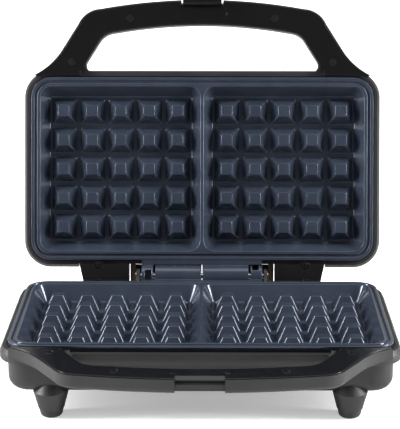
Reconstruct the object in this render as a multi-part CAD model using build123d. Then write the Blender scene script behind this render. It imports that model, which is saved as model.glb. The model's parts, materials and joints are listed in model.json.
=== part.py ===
from build123d import *
import math
import os

# Double waffle maker, standing open.
# Lengths are millimetres. Each half is drawn in its own half frame: the parting
# plane is z = 0, the half fills z < 0, x = 0 is the middle, y = 0 is the middle
# of the baking plate and the hinge lies behind it at y = HINGE_Y.

# Baking plate, one casting used for both halves
PLATE_W = 263.6
PLATE_D = 140.8
PLATE_R = 15.0
PARTING_GAP = 0.5
SKIRT_H = 4.8
LIP_W = 2.4
GROOVE_W = 2.2
GROOVE_DEPTH = 1.3
PAN_MARGIN = 6.9
CAVITY_R = 9.0
CAVITY_DEPTH = 12.0
CAVITY_DRAFT = 29.5
SEPTUM_W = 2.2
PLATE_WALL = 3.0
STUD_MARGIN_X = 13.8
STUD_MARGIN_Y = 15.0
STUD_TOP = 8.4
STUD_BASE = 18.8
STUD_DROP = 2.0
STUD_COLS = 5
STUD_ROWS = 5

# Hinge: cast knuckles on a steel rod
HINGE_BACK = 12.1
OPEN_ANGLE = 105.0
KNUCKLE_R = 8.0
KNUCKLE_L = 35.0
KNUCKLE_GAP = 1.6
LUG_L = 8.8
LUG_POCKET_W = 5.0
LUG_POCKET_DEPTH = 4.0
KNUCKLE_CLEAR = 0.5
WEB_T = 4.6
ROD_R = 2.0
ROD_FIT = 0.05
ROD_HEAD_R = 2.9
ROD_HEAD_T = 0.8
CHEEK_T = 2.6
CHEEK_R = 5.5
CHEEK_GAP = 1.4
CHEEK_REACH = 14.0

# Housings
RIM_DROP = 4.3
RIM_GAP = 1.2
RIM_WALL = 2.4
BELT_BULGE = 2.1
BELT_H = 8.5
BELT_SHOULDER = 3.7
TUB_INSET = 3.4
HALF_H = 35.0
WALL = 2.4
TUB_EDGE_R = 9.0
BELT_EDGE_R = 1.4
HINGE_RECESS_SIDE = 1.0
HINGE_RECESS_GAP = 0.9
SEAT_GAP = 0.05

# Handles
HANDLE_T = 11.0
HANDLE_WALL = 2.4
HANDLE_EDGE_R = 3.5
GRIP_OUT = 56.2
TIP_SIDE = 5.9
TIP_BACK = 1.7
WAIST_IN = 22.5
WAIST_OUT = 20.9
ELBOW_IN = 11.5
ELBOW_BACK = 18.8
SHOULDER_IN = 17.5
SHOULDER_BACK = 7.0
HANDLE_FLARE = 1.6
HANDLE_BULGE = 3.2
GRIP_W = 19.3
GRIP_ARCH = 7.5
GRIP_ARM_W = 13.4
GRIP_GAP_LEAN = 17.9
GRIP_GAP_WALL = 0.9
GRIP_GAP_ROUND = 0.5
GRIP_GAP_END_R = 5.0
COVER_T = 3.2
COVER_INSET = 1.2
COVER_DROP = 0.4
COVER_GAP = 0.1
SHELL_LIP_DROP = 1.2
ARM_SCREW_IN = 6.4
ARM_SCREW_BACK = 10.8
GRIP_SCREW_IN = 22.4
GRIP_SCREW_BACK = 14.1
HANDLE_BOSS_R = 3.4
HANDLE_SCREW_R = 1.3
HANDLE_SCREW_HEAD_R = 2.7
HANDLE_SCREW_HEAD_H = 1.6
HANDLE_SCREW_END = 0.4
HEAD_RECESS_FIT = 0.2
CROSS_ARM = 0.62
CROSS_SLOT = 0.13
CROSS_DEPTH = 0.55
PIP_X = 17.9
PIP_BACK = 10.9
PIP_R = 1.0
PIP_H = 0.3
LATCH_STOP_GAP = 0.3

# Latch
NOTCH_HALF = 16.2
NOTCH_DEPTH = 6.2
LIP_TOP = 5.4
LIP_T = 2.3
LIP_REACH = 3.8
LATCH_HALF = 14.8
LATCH_PIVOT_IN = 3.1
LATCH_PIVOT_Z = 6.5
LATCH_HUB_R = 2.6
LATCH_T = 2.0
LATCH_BODY_T = 4.3
LATCH_BODY_FOOT = 0.8
LATCH_CLEAR = 0.6
LATCH_TOE_CLEAR = 0.4
LATCH_TOE_T = 1.7
LATCH_TAB = 5.5
LATCH_LEAD_IN = 1.1
PIN_R = 1.5
PIN_FIT = 0.08
PIN_HOLD = 3.0
PIN_PRESS = 0.02

# Hinge covers of the lid and stop brackets of the base
EAR_GAP = 2.8
EAR_SIDE = 37.3
EAR_TAPER = 3.0
EAR_REAR = 4.4
EAR_DROP = 0.6
EAR_EDGE_R = 2.5
EAR_SCREW_IN = 14.9
EAR_SCREW_BACK = 8.2
EAR_SCREW_DROP = 1.2
EAR_BOSS_R = 3.7
EAR_POST_R = 3.2
EAR_POST_FIT = 0.15
EAR_SCREW_R = 1.4
EAR_SCREW_HEAD_R = 2.7
EAR_SCREW_HEAD_H = 1.6
EAR_SCREW_L = 14.0
EAR_FLOOR_T = 3.6
STOP_GAP = 0.3
STOP_REACH = 14.0
STOP_LIP = 3.0
STOP_H = 24.0
STOP_STEP = 0.5
STOP_INSET = 1.0
GUARD_T = 2.0
GUARD_OVERLAP = 0.6
GUARD_GAP = 0.5
GUARD_SIDE_GAP = 0.4
GUARD_SPLIT = 0.4

# Fixing of plates and shields
POST_SIDE = 27.8
POST_END = 32.4
POST_R = 6.5
NECK_R = 4.2
PLATE_POST_R = 4.5
PLATE_POST_H = 7.0
PLATE_SCREW_R = 1.9
PLATE_SCREW_HEAD_R = 3.6
PLATE_SCREW_HEAD_H = 2.6
PLATE_SCREW_L = 11.0
PLATE_SCREW_GRIP = 4.0
PLATE_HOLE_SPARE = 1.0
SCREW_FIT = 0.05
SCREW_PASS = 0.3
HEAD_PASS = 0.5
SHIELD_SIDE = 13.8
SHIELD_END = 22.4
SHIELD_R = 8.0
SHIELD_T = 0.8
SHIELD_RIM = 4.0
SHIELD_DEPTH = 25.8

# Heating
ELEMENT_R = 3.3
ELEMENT_SEAT = 0.05
ELEMENT_SIDE = 41.8
ELEMENT_FRONT_IN = 34.4
ELEMENT_REAR_IN = 44.4
ELEMENT_LEG_X = 16.0
ELEMENT_LEG_IN = 24.4
ELEMENT_BEND_R = 12.0
ELEMENT_PIN_R = 1.6
ELEMENT_PIN_L = 8.0
CLIP_X = 50.0
CLIP_W = 10.0
CLIP_T = 1.0
CLIP_EAR = 6.0
THERMOSTAT_R = 8.0
THERMOSTAT_H = 7.0
THERMOSTAT_CAP_R = 5.5
THERMOSTAT_CAP_H = 1.4
FUSE_R = 2.2
FUSE_L = 12.0
FUSE_X = 40.0

# Feet
FOOT_SIDE = 29.7
FOOT_END = 7.8
FOOT_TOP_R = 12.2
FOOT_LOW_R = 8.9
FOOT_MOULDED_H = 12.4
FOOT_SHOULDER_H = 7.0
FOOT_SHOULDER_IN = 5.2
PAD_R = 8.5
PAD_TIP_R = 7.3
PAD_H = 6.0
PAD_EDGE_R = 2.5
PAD_STEM_R = 3.0
PAD_STEM_L = 5.0
PAD_FIT = 0.1
PAD_SINK = 0.5

# Mains inlet and wiring
GLAND_Z = 22.0
GLAND_R = 5.4
GLAND_FLANGE_R = 7.2
GLAND_FLANGE_T = 2.0
GLAND_NOSE_R = 5.0
GLAND_NOSE_L = 7.0
GLAND_BORE_R = 3.3
GLAND_INNER_L = 5.0
GLAND_FIT = 0.1
BLOCK_X = -42.0
BLOCK_IN = 15.6
BLOCK_W = 30.0
BLOCK_D = 12.0
BLOCK_H = 9.0
BLOCK_SCREW_R = 1.7
SLEEVE_SIDE = 3.2
SLEEVE_R = 1.9
SLEEVE_Z = 9.0
SLEEVE_HOLE_FIT = 0.3
SLEEVE_BEND_R = 8.0
SLEEVE_WALL_GAP = 0.2
SLEEVE_TAIL = 2.2
LEAD_END_GAP = 0.1
LEAD_R = 1.2
LEAD_DROP = 12.8
LEAD_IN = 10.6

# Indicator lamps in the lid
LAMP_X = 11.0
LAMP_IN = 22.6
LENS_R = 4.0
LENS_RIM_R = 5.0
LENS_RIM_T = 1.0
LENS_FIT = 0.1
LENS_DEPTH = 4.0
LENS_SEAT = 0.02
LAMP_R = 3.0
LAMP_H = 4.0

# Worked out from the sizes above: the plate
CAVITY_W = (PLATE_W - 2 * PAN_MARGIN - SEPTUM_W) / 2
CAVITY_D = PLATE_D - 2 * PAN_MARGIN
CAVITY_X = (SEPTUM_W + CAVITY_W) / 2
STUD_PITCH_X = (CAVITY_W - STUD_MARGIN_X) / STUD_COLS
STUD_PITCH_Y = (CAVITY_D - STUD_MARGIN_Y) / STUD_ROWS
FACE_Z = -PARTING_GAP / 2
SKIRT_Z = FACE_Z - SKIRT_H
FLOOR_Z = FACE_Z - CAVITY_DEPTH
PAN_Z = FLOOR_Z - PLATE_WALL
STUD_Z = -STUD_DROP
POST_TOP_Z = PAN_Z - PLATE_POST_H
POST_X = PLATE_W / 2 - POST_SIDE
POST_Y = PLATE_D / 2 - POST_END
PLATE_SCREW_SEAT_Z = POST_TOP_Z + PLATE_SCREW_GRIP - PLATE_SCREW_L

# The housing
RIM_HALF_W = PLATE_W / 2 + RIM_GAP + RIM_WALL
RIM_HALF_D = PLATE_D / 2 + RIM_GAP + RIM_WALL
RIM_R = PLATE_R + RIM_GAP + RIM_WALL
BELT_Z = -RIM_DROP - BELT_H
TUB_HALF_W = RIM_HALF_W - TUB_INSET
TUB_HALF_D = RIM_HALF_D - TUB_INSET
TUB_R = RIM_R - TUB_INSET
TUB_FLOOR_Z = -HALF_H + WALL
FOOT_H = FOOT_MOULDED_H + PAD_H
FOOT_X = TUB_HALF_W - FOOT_SIDE
FOOT_Y = TUB_HALF_D - FOOT_END
PARTING_Z = HALF_H + FOOT_H

# The hinge
HINGE_Y = PLATE_D / 2 + HINGE_BACK
WALL_BACK = HINGE_Y - KNUCKLE_R - HINGE_RECESS_GAP
WEB_REAR_Y = HINGE_Y - KNUCKLE_R - KNUCKLE_CLEAR
LUG_END_X = KNUCKLE_GAP / 2 + KNUCKLE_L + KNUCKLE_GAP + LUG_L
CHEEK_X = LUG_END_X + CHEEK_GAP
SLEEVE_X = CHEEK_X + CHEEK_T + SLEEVE_SIDE
EAR_X0 = SLEEVE_X + EAR_GAP
EAR_X1 = PLATE_W / 2 - EAR_SIDE
EAR_SCREW_X = EAR_X1 - EAR_SCREW_IN
EAR_POCKET_Z = -EAR_SCREW_DROP - EAR_SCREW_HEAD_H - EAR_FLOOR_T
HINGE_RECESS_HALF = EAR_X1 + HINGE_RECESS_SIDE

# The handle, from its front middle round to the housing
HANDLE_REACH = RIM_HALF_D + GRIP_OUT
HANDLE_TIP_X = RIM_HALF_W - TIP_SIDE
HANDLE_TIP_Y = RIM_HALF_D - TIP_BACK
HANDLE_WAIST_X = HANDLE_TIP_X - WAIST_IN
HANDLE_WAIST_Y = HANDLE_TIP_Y + WAIST_OUT
HANDLE_ELBOW_X = HANDLE_WAIST_X - ELBOW_IN
HANDLE_ELBOW_Y = HANDLE_REACH - ELBOW_BACK
HANDLE_SHOULDER_X = HANDLE_ELBOW_X - SHOULDER_IN
HANDLE_SHOULDER_Y = HANDLE_REACH - SHOULDER_BACK
GRIP_GAP_REAR = RIM_HALF_D + GRIP_GAP_WALL
GRIP_GAP_FRONT = HANDLE_REACH - GRIP_W
GRIP_GAP_HALF = HANDLE_WAIST_X - GRIP_ARM_W
GRIP_GAP_SHOULDER_X = GRIP_GAP_HALF - GRIP_GAP_LEAN
GRIP_GAP_SHOULDER_Y = GRIP_GAP_FRONT - GRIP_ARCH
GRIP_GAP_CORNER_R = (GRIP_GAP_SHOULDER_Y - GRIP_GAP_REAR) * GRIP_GAP_ROUND
ARM_SCREW = (HANDLE_WAIST_X - ARM_SCREW_IN, HANDLE_WAIST_Y - ARM_SCREW_BACK)
GRIP_SCREW = (HANDLE_SHOULDER_X - GRIP_SCREW_IN, HANDLE_REACH - GRIP_SCREW_BACK)
HANDLE_SCREWS = [ARM_SCREW, GRIP_SCREW]
PIP_Y = HANDLE_REACH - PIP_BACK
CHANNEL_Z = -HANDLE_T + HANDLE_WALL
COVER_UNDER_Z = -COVER_DROP - COVER_T

# The latch
NOTCH_Y = -HANDLE_REACH + NOTCH_DEPTH
LATCH_OUTER_Y = NOTCH_Y - LIP_REACH - LATCH_CLEAR - LATCH_T
UPPER_NOTCH_Y = LATCH_OUTER_Y + LATCH_BODY_T + LATCH_STOP_GAP
PIVOT_Y = -HANDLE_REACH + LATCH_PIVOT_IN

# Inside the housing
SHIELD_W = PLATE_W - 2 * SHIELD_SIDE
SHIELD_D = PLATE_D - 2 * SHIELD_END
SHIELD_Z = -SHIELD_DEPTH
ELEMENT_HALF_X = PLATE_W / 2 - ELEMENT_SIDE
ELEMENT_FRONT = PLATE_D / 2 - ELEMENT_FRONT_IN
ELEMENT_REAR = PLATE_D / 2 - ELEMENT_REAR_IN
ELEMENT_LEG_END = PLATE_D / 2 - ELEMENT_LEG_IN
BLOCK_Y = TUB_HALF_D - BLOCK_IN
LEAD_Y = TUB_HALF_D - LEAD_IN
LEAD_WALL_Y = TUB_HALF_D - WALL - SLEEVE_R - SLEEVE_WALL_GAP
LEAD_JOIN_Z = -SLEEVE_Z - LEAD_DROP
LAMP_Y = LAMP_IN - TUB_HALF_D
LENS_Z = -HALF_H


def prism(face, z0, z1):
    """The face raised from height z0 to height z1."""
    return Pos(0, 0, z0) * extrude(face, z1 - z0, dir=(0, 0, 1))


def rounded(w, d, r):
    """A rounded rectangle about the origin."""
    return RectangleRounded(w, d, r)


def block(x0, x1, y0, y1, z0, z1):
    """A box between two corners."""
    centre = ((x0 + x1) / 2, (y0 + y1) / 2, (z0 + z1) / 2)
    return Pos(*centre) * Box(x1 - x0, y1 - y0, z1 - z0)


def post(x, y, r, z0, z1):
    """An upright cylinder from height z0 to height z1."""
    return Pos(x, y, (z0 + z1) / 2) * Cylinder(r, z1 - z0)


def along_x(x0, x1, y, z, r):
    """A cylinder lying along X."""
    return Pos((x0 + x1) / 2, y, z) * Rot(0, 90, 0) * Cylinder(r, x1 - x0)


def along_y(y0, y1, x, z, r):
    """A cylinder lying along Y."""
    return Pos(x, (y0 + y1) / 2, z) * Rot(90, 0, 0) * Cylinder(r, y1 - y0)


def profile_x(points, x0, x1):
    """A polygon of (y, z) points raised along X from x0 to x1."""
    outline = Polyline([(x0, y, z) for y, z in points], close=True)
    return extrude(make_face(outline), x1 - x0, dir=(1, 0, 0))


def tube(points, bend, r):
    """A round bar of radius r along a path with rounded corners."""
    path = FilletPolyline(*points, radius=bend) if len(points) > 2 else Line(*points)
    ring = Plane(origin=path @ 0, z_dir=path % 0) * Circle(r)
    return sweep(ring, path=path)


def corners(x, y):
    """The four places at plus and minus x and y."""
    return [(x, y), (-x, y), (x, -y), (-x, -y)]


def to_base(part):
    """From the half frame to the base, standing on its feet."""
    return Pos(0, 0, PARTING_Z) * part


def to_lid(part):
    """From the half frame to the lid, turned over and opened about the rod."""
    turned = Rot(0, 180, 0) * part
    hinge = Pos(0, HINGE_Y, PARTING_Z) * Rot(-OPEN_ANGLE, 0, 0)
    return hinge * Pos(0, -HINGE_Y, 0) * turned


def baking_plate():
    """The cast plate: flange with groove, two pans of studs, hinge knuckles."""
    plate = prism(rounded(PLATE_W, PLATE_D, PLATE_R), SKIRT_Z, FACE_Z)
    pan_w = 2 * CAVITY_W + SEPTUM_W + 2 * PLATE_WALL
    pan_d = CAVITY_D + 2 * PLATE_WALL
    pan_face = Pos(0, 0, SKIRT_Z) * rounded(pan_w, pan_d, CAVITY_R + PLATE_WALL)
    plate += extrude(pan_face, SKIRT_Z - PAN_Z, dir=(0, 0, -1), taper=CAVITY_DRAFT)
    for x, y in corners(POST_X, POST_Y):
        plate += post(x, y, PLATE_POST_R, POST_TOP_Z, PAN_Z + 1)
    plate += hinge_knuckles()
    groove_out = (PLATE_W - 2 * LIP_W, PLATE_D - 2 * LIP_W, PLATE_R - LIP_W)
    groove_in = [size - 2 * GROOVE_W for size in groove_out[:2]]
    groove = rounded(*groove_out) - rounded(*groove_in, groove_out[2] - GROOVE_W)
    plate -= prism(groove, FACE_Z - GROOVE_DEPTH, FACE_Z + 1)
    for side in (-1, 1):
        mouth = Pos(side * CAVITY_X, 0, FACE_Z) * rounded(CAVITY_W, CAVITY_D, CAVITY_R)
        plate -= extrude(mouth, CAVITY_DEPTH, dir=(0, 0, -1), taper=CAVITY_DRAFT)
        plate += Pos(side * CAVITY_X, 0, 0) * stud_field()
    hole_top = POST_TOP_Z + PLATE_SCREW_GRIP + PLATE_HOLE_SPARE
    for x, y in corners(POST_X, POST_Y):
        plate -= post(x, y, PLATE_SCREW_R + SCREW_FIT, POST_TOP_Z - 1, hole_top)
    return plate


def stud_field():
    """The square studs of one pan, each a frustum standing on the floor."""
    height = STUD_Z - FLOOR_Z
    draft = math.degrees(math.atan2((STUD_BASE - STUD_TOP) / 2, height))
    base = Pos(0, 0, FLOOR_Z) * Rectangle(STUD_BASE, STUD_BASE)
    stud = extrude(base, height, dir=(0, 0, 1), taper=draft)
    places = GridLocations(STUD_PITCH_X, STUD_PITCH_Y, STUD_COLS, STUD_ROWS)
    root = block(-STUD_BASE / 2, STUD_BASE / 2, -STUD_BASE / 2, STUD_BASE / 2, FLOOR_Z - 1, FLOOR_Z)
    return Part() + [place * (stud + root) for place in places]


def hinge_knuckles():
    """Web, long knuckle on the -x side and short lug on the +x side."""
    front = PLATE_D / 2 - 3
    web_z0 = FACE_Z - WEB_T
    web = block(-LUG_END_X, LUG_END_X, front, WEB_REAR_Y, web_z0, FACE_Z)
    long_x = (-KNUCKLE_GAP / 2 - KNUCKLE_L, -KNUCKLE_GAP / 2)
    lug_x = (LUG_END_X - LUG_L, LUG_END_X)
    for x0, x1 in (long_x, lug_x):
        web += block(x0, x1, WEB_REAR_Y - 1, HINGE_Y, web_z0, FACE_Z)
        web += along_x(x0, x1, HINGE_Y, 0, KNUCKLE_R)
    pocket_x = lug_x[0] + (LUG_L - LUG_POCKET_W) / 3
    pocket_y = HINGE_Y - KNUCKLE_R * 0.6
    pocket_z = KNUCKLE_R - LUG_POCKET_DEPTH
    web -= block(pocket_x, pocket_x + LUG_POCKET_W, pocket_y, HINGE_Y + KNUCKLE_R, pocket_z, KNUCKLE_R + 1)
    web -= along_x(-LUG_END_X - 1, LUG_END_X + 1, HINGE_Y, 0, ROD_R + ROD_FIT)
    return web


def handle_outline(inset=0.0):
    """Plan of the handle, from the housing's front wall to the grip, as a face."""
    reach = HANDLE_REACH - inset
    tip_x = HANDLE_TIP_X - inset
    shoulder = (HANDLE_SHOULDER_X - inset / 3, -HANDLE_SHOULDER_Y + inset)
    elbow = (HANDLE_ELBOW_X - inset * 0.9, -HANDLE_ELBOW_Y + inset / 2)
    waist = (HANDLE_WAIST_X - inset * 0.8, -HANDLE_WAIST_Y + inset / 2)
    tip = (tip_x, -HANDLE_TIP_Y)
    bulge = ((elbow[0] + shoulder[0]) / 2 + HANDLE_BULGE * 0.8, (elbow[1] + shoulder[1]) / 2 - HANDLE_BULGE * 0.6)
    flare = ((tip[0] + waist[0]) / 2 - HANDLE_FLARE, (tip[1] + waist[1]) / 2 + HANDLE_FLARE)
    left = [(-x, y) for x, y in (shoulder, bulge, elbow, waist, flare, tip)]
    edges = [
        ThreePointArc(left[0], (0, -reach), shoulder),
        ThreePointArc(shoulder, bulge, elbow),
        Line(elbow, waist),
        ThreePointArc(waist, flare, tip),
        Line(tip, left[5]),
        ThreePointArc(left[5], left[4], left[3]),
        Line(left[3], left[2]),
        ThreePointArc(left[2], left[1], left[0]),
    ]
    return make_face(edges)


def grip_gap(grow=0.0):
    """Plan of the finger gap between the housing and the grip."""
    half = GRIP_GAP_HALF + grow
    rear = -GRIP_GAP_REAR + grow
    shoulder = (GRIP_GAP_SHOULDER_X + grow, -GRIP_GAP_SHOULDER_Y - grow)
    front = -GRIP_GAP_FRONT - grow
    edges = [
        Line((-half, rear), (half, rear)),
        Line((half, rear), shoulder),
        ThreePointArc(shoulder, (0, front), (-shoulder[0], shoulder[1])),
        Line((-shoulder[0], shoulder[1]), (-half, rear)),
    ]
    face = make_face(edges)
    points = face.vertices().sort_by(Axis.Y)
    face = fillet(points[:2], GRIP_GAP_CORNER_R)
    points = face.vertices().sort_by(Axis.Y)
    return fillet(points[-2:], GRIP_GAP_END_R)


def handle_shell(lip):
    """The handle's outer half: a channel round the finger gap, with the latch notch."""
    slab = prism(handle_outline(), -HANDLE_T, -SHELL_LIP_DROP)
    low = slab.edges().group_by(Axis.Z)[0]
    slab = fillet(low.sort_by(Axis.Y)[:-1], HANDLE_EDGE_R)
    hollow = prism(handle_outline(HANDLE_WALL), CHANNEL_Z, 0)
    hollow -= block(-HANDLE_TIP_X, HANDLE_TIP_X, -GRIP_GAP_REAR - HANDLE_WALL, 0, -HANDLE_T, 1)
    hollow -= prism(grip_gap(HANDLE_WALL), -HANDLE_T, 1)
    notch_wall = NOTCH_HALF + HANDLE_WALL
    hollow -= block(-notch_wall, notch_wall, -HANDLE_REACH, NOTCH_Y + HANDLE_WALL, -HANDLE_T, 1)
    slab -= hollow
    slab -= prism(cover_plan(COVER_INSET - COVER_GAP), COVER_UNDER_Z, 0)
    for x, y in HANDLE_SCREWS:
        for side in (-1, 1):
            slab += post(side * x, -y, HANDLE_BOSS_R, CHANNEL_Z - 0.5, COVER_UNDER_Z)
            slab -= post(side * x, -y, HANDLE_SCREW_R + SCREW_FIT, CHANNEL_Z, COVER_UNDER_Z + 1)
    slab -= prism(grip_gap(), -HANDLE_T - 1, 1)
    slab -= block(-GRIP_GAP_HALF, GRIP_GAP_HALF, -GRIP_GAP_REAR - 1, 0, -RIM_DROP, 1)
    slab -= latch_notch(lip)
    return slab


def latch_notch(lip):
    """The space cut for the latch in the front of the grip."""
    front = -HANDLE_REACH - 1
    space = block(-NOTCH_HALF, NOTCH_HALF, front, NOTCH_Y, -HANDLE_T - 1, 1)
    if lip:
        space -= block(-NOTCH_HALF, NOTCH_HALF, NOTCH_Y - LIP_REACH, NOTCH_Y, -LIP_TOP - LIP_T, -LIP_TOP)
    return space


def cover_plan(inset):
    """Plan of the handle's inner cover."""
    plan = handle_outline(inset) - grip_gap(inset)
    rear = GRIP_GAP_HALF + inset
    plan -= Pos(0, -GRIP_GAP_REAR + 3) * Rectangle(2 * rear, 8)
    return plan


def handle_cover(notch_y):
    """The glossy cover that closes the handle's channel, notched back to notch_y."""
    cover = prism(cover_plan(COVER_INSET), COVER_UNDER_Z, -COVER_DROP)
    cover -= block(-NOTCH_HALF, NOTCH_HALF, -HANDLE_REACH, notch_y, -HANDLE_T, 1)
    for side in (-1, 1):
        cover += post(side * PIP_X, -PIP_Y, PIP_R, -COVER_DROP - 1, -COVER_DROP + PIP_H)
    for x, y in HANDLE_SCREWS:
        for side in (-1, 1):
            head_z = -COVER_DROP - HANDLE_SCREW_HEAD_H
            cover -= post(side * x, -y, HANDLE_SCREW_HEAD_R + HEAD_RECESS_FIT, head_z, 1)
            cover -= post(side * x, -y, HANDLE_SCREW_R + SCREW_PASS, COVER_UNDER_Z - 1, 0)
    return cover


def screw(head_r, head_h, r, length):
    """A pan-head screw with a cross recess, head up, its seat at the origin."""
    head = post(0, 0, head_r, 0, head_h)
    head = fillet(head.edges().group_by(Axis.Z)[-1], head_h * 0.45)
    arm = head_r * CROSS_ARM
    slot = head_r * CROSS_SLOT
    low = head_h * (1 - CROSS_DEPTH)
    cross = block(-arm, arm, -slot, slot, low, head_h + 1)
    cross += block(-slot, slot, -arm, arm, low, head_h + 1)
    return head - cross + post(0, 0, r, -length, 0)


def handle_screws():
    """The four screws of one handle cover."""
    seat_z = -COVER_DROP - HANDLE_SCREW_HEAD_H
    length = seat_z - CHANNEL_Z - HANDLE_SCREW_END
    one = screw(HANDLE_SCREW_HEAD_R, HANDLE_SCREW_HEAD_H - HEAD_RECESS_FIT, HANDLE_SCREW_R, length)
    return [Pos(side * x, -y, seat_z) * one for x, y in HANDLE_SCREWS for side in (-1, 1)]


def housing(base):
    """One outer moulding: belt, tub, handle shell, seats; the base has feet and cheeks."""
    belt_w = 2 * (RIM_HALF_W + BELT_BULGE)
    belt_d = 2 * (RIM_HALF_D + BELT_BULGE)
    belt_plan = rounded(belt_w, belt_d, RIM_R + BELT_BULGE)
    shoulder_z = -RIM_DROP - BELT_SHOULDER
    belt = prism(belt_plan, BELT_Z, shoulder_z)
    belt = fillet(belt.edges().group_by(Axis.Z)[0], BELT_EDGE_R)
    belt_draft = math.degrees(math.atan2(BELT_BULGE, BELT_SHOULDER))
    belt += extrude(Pos(0, 0, shoulder_z) * belt_plan, BELT_SHOULDER, taper=belt_draft)
    tub = prism(rounded(2 * TUB_HALF_W, 2 * TUB_HALF_D, TUB_R), -HALF_H, BELT_Z + 2)
    tub = fillet(tub.edges().group_by(Axis.Z)[0], TUB_EDGE_R)
    shell = belt + tub + handle_shell(lip=base)
    pocket = rounded(PLATE_W + 2 * RIM_GAP, PLATE_D + 2 * RIM_GAP, PLATE_R + RIM_GAP)
    shell -= prism(pocket, SKIRT_Z - SEAT_GAP, 1)
    inner_w = TUB_HALF_W - WALL
    inner_d = TUB_HALF_D - WALL
    inside = prism(rounded(2 * inner_w, 2 * inner_d, TUB_R - WALL), TUB_FLOOR_Z, SKIRT_Z + 1)
    inside = fillet(inside.edges().group_by(Axis.Z)[0], TUB_EDGE_R - WALL)
    shell -= inside
    recess = block(-HINGE_RECESS_HALF, HINGE_RECESS_HALF, WALL_BACK, HINGE_Y, 2 * BELT_Z, 1)
    shell -= recess - tub
    notch_half = LUG_END_X + KNUCKLE_CLEAR
    notch_z = FACE_Z - WEB_T - KNUCKLE_CLEAR
    shell -= block(-notch_half, notch_half, PLATE_D / 2 - 1, HINGE_Y, notch_z, 1)
    for side in (-1, 1):
        hole_r = SLEEVE_R + SLEEVE_HOLE_FIT
        shell -= along_y(inner_d - 2, HINGE_Y, side * SLEEVE_X, -SLEEVE_Z, hole_r)
        ear_y = HINGE_Y - EAR_SCREW_BACK
        shell += post(side * EAR_SCREW_X, ear_y, EAR_POST_R, -EAR_SCREW_L - 3, EAR_POCKET_Z)
        shell -= post(side * EAR_SCREW_X, ear_y, EAR_SCREW_R + SCREW_FIT, -EAR_SCREW_L - 2, 1)
    for x, y in corners(POST_X, POST_Y):
        shell += post(x, y, POST_R, TUB_FLOOR_Z - 0.5, SHIELD_Z - SHIELD_T / 2)
        shell += post(x, y, NECK_R, SHIELD_Z - 1, POST_TOP_Z - SEAT_GAP)
        shell -= post(x, y, PLATE_SCREW_R + SCREW_PASS, -HALF_H - 1, 0)
        shell -= post(x, y, PLATE_SCREW_HEAD_R + HEAD_PASS, -HALF_H - 1, PLATE_SCREW_SEAT_Z)
    if base:
        shell += hinge_cheeks()
        shell += feet_bosses() - inside
        shell -= along_y(inner_d - 1, TUB_HALF_D + 1, 0, -GLAND_Z, GLAND_R + GLAND_FIT)
    else:
        for side in (-1, 1):
            shell -= post(side * LAMP_X, LAMP_Y, LENS_R + LENS_FIT, -HALF_H - 1, TUB_FLOOR_Z + 1)
    return shell


def hinge_cheeks():
    """The two cheeks behind the base that hold the ends of the hinge rod."""
    cheeks = Part()
    outline = [
        (WALL_BACK - 1, -CHEEK_REACH * 0.2),
        (HINGE_Y - CHEEK_R * 0.5, CHEEK_R * 0.8),
        (HINGE_Y + CHEEK_R * 0.5, -CHEEK_R * 0.8),
        (WALL_BACK - 1, -CHEEK_REACH * 0.85),
    ]
    for x0 in (CHEEK_X, -CHEEK_X - CHEEK_T):
        cheeks += profile_x(outline, x0, x0 + CHEEK_T)
        cheeks += along_x(x0, x0 + CHEEK_T, HINGE_Y, 0, CHEEK_R)
        cheeks -= along_x(x0 - 1, x0 + CHEEK_T + 1, HINGE_Y, 0, ROD_R + ROD_FIT)
    return cheeks


def feet_bosses():
    """The moulded upper part of the four feet, hollow for the pads' stems."""
    bosses = Part()
    low_z = -HALF_H - FOOT_MOULDED_H
    shoulder_r = FOOT_TOP_R - FOOT_SHOULDER_IN
    leg = Pos(0, 0, low_z + FOOT_MOULDED_H / 2) * Cone(FOOT_LOW_R, FOOT_TOP_R, FOOT_MOULDED_H)
    leg += Pos(0, 0, -HALF_H + FOOT_SHOULDER_H / 2) * Cone(FOOT_TOP_R, shoulder_r, FOOT_SHOULDER_H)
    leg -= post(0, 0, PAD_STEM_R + PAD_FIT, low_z - 1, low_z + PAD_STEM_L + PAD_SINK)
    for x, y in corners(FOOT_X, FOOT_Y):
        bosses += Pos(x, y) * leg
    return bosses


def rubber_feet():
    """The four rubber pads, each with a stem up into its foot."""
    top_z = -HALF_H - FOOT_MOULDED_H
    cone = Pos(0, 0, top_z - PAD_H / 2) * Cone(PAD_TIP_R, PAD_R, PAD_H)
    cone = fillet(cone.edges().group_by(Axis.Z)[0], PAD_EDGE_R)
    pad = cone + post(0, 0, PAD_STEM_R, top_z - PAD_SINK, top_z + PAD_STEM_L)
    return [Pos(x, y) * pad for x, y in corners(FOOT_X, FOOT_Y)]


def ear_seat(side, body):
    """The screw boss, its recess and the pocket for the housing's post, on a hinge piece."""
    x = side * EAR_SCREW_X
    y = HINGE_Y - EAR_SCREW_BACK
    top = -EAR_SCREW_DROP
    body += post(x, y, EAR_BOSS_R, -RIM_DROP + SEAT_GAP, top)
    low = -2 * STOP_H
    body -= post(x, y, EAR_SCREW_HEAD_R + SCREW_PASS, top - EAR_SCREW_HEAD_H, 1)
    body -= post(x, y, EAR_SCREW_R + SCREW_PASS, low, 1)
    body -= post(x, y, EAR_POST_R + EAR_POST_FIT, low, EAR_POCKET_Z + SEAT_GAP)
    return body


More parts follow.
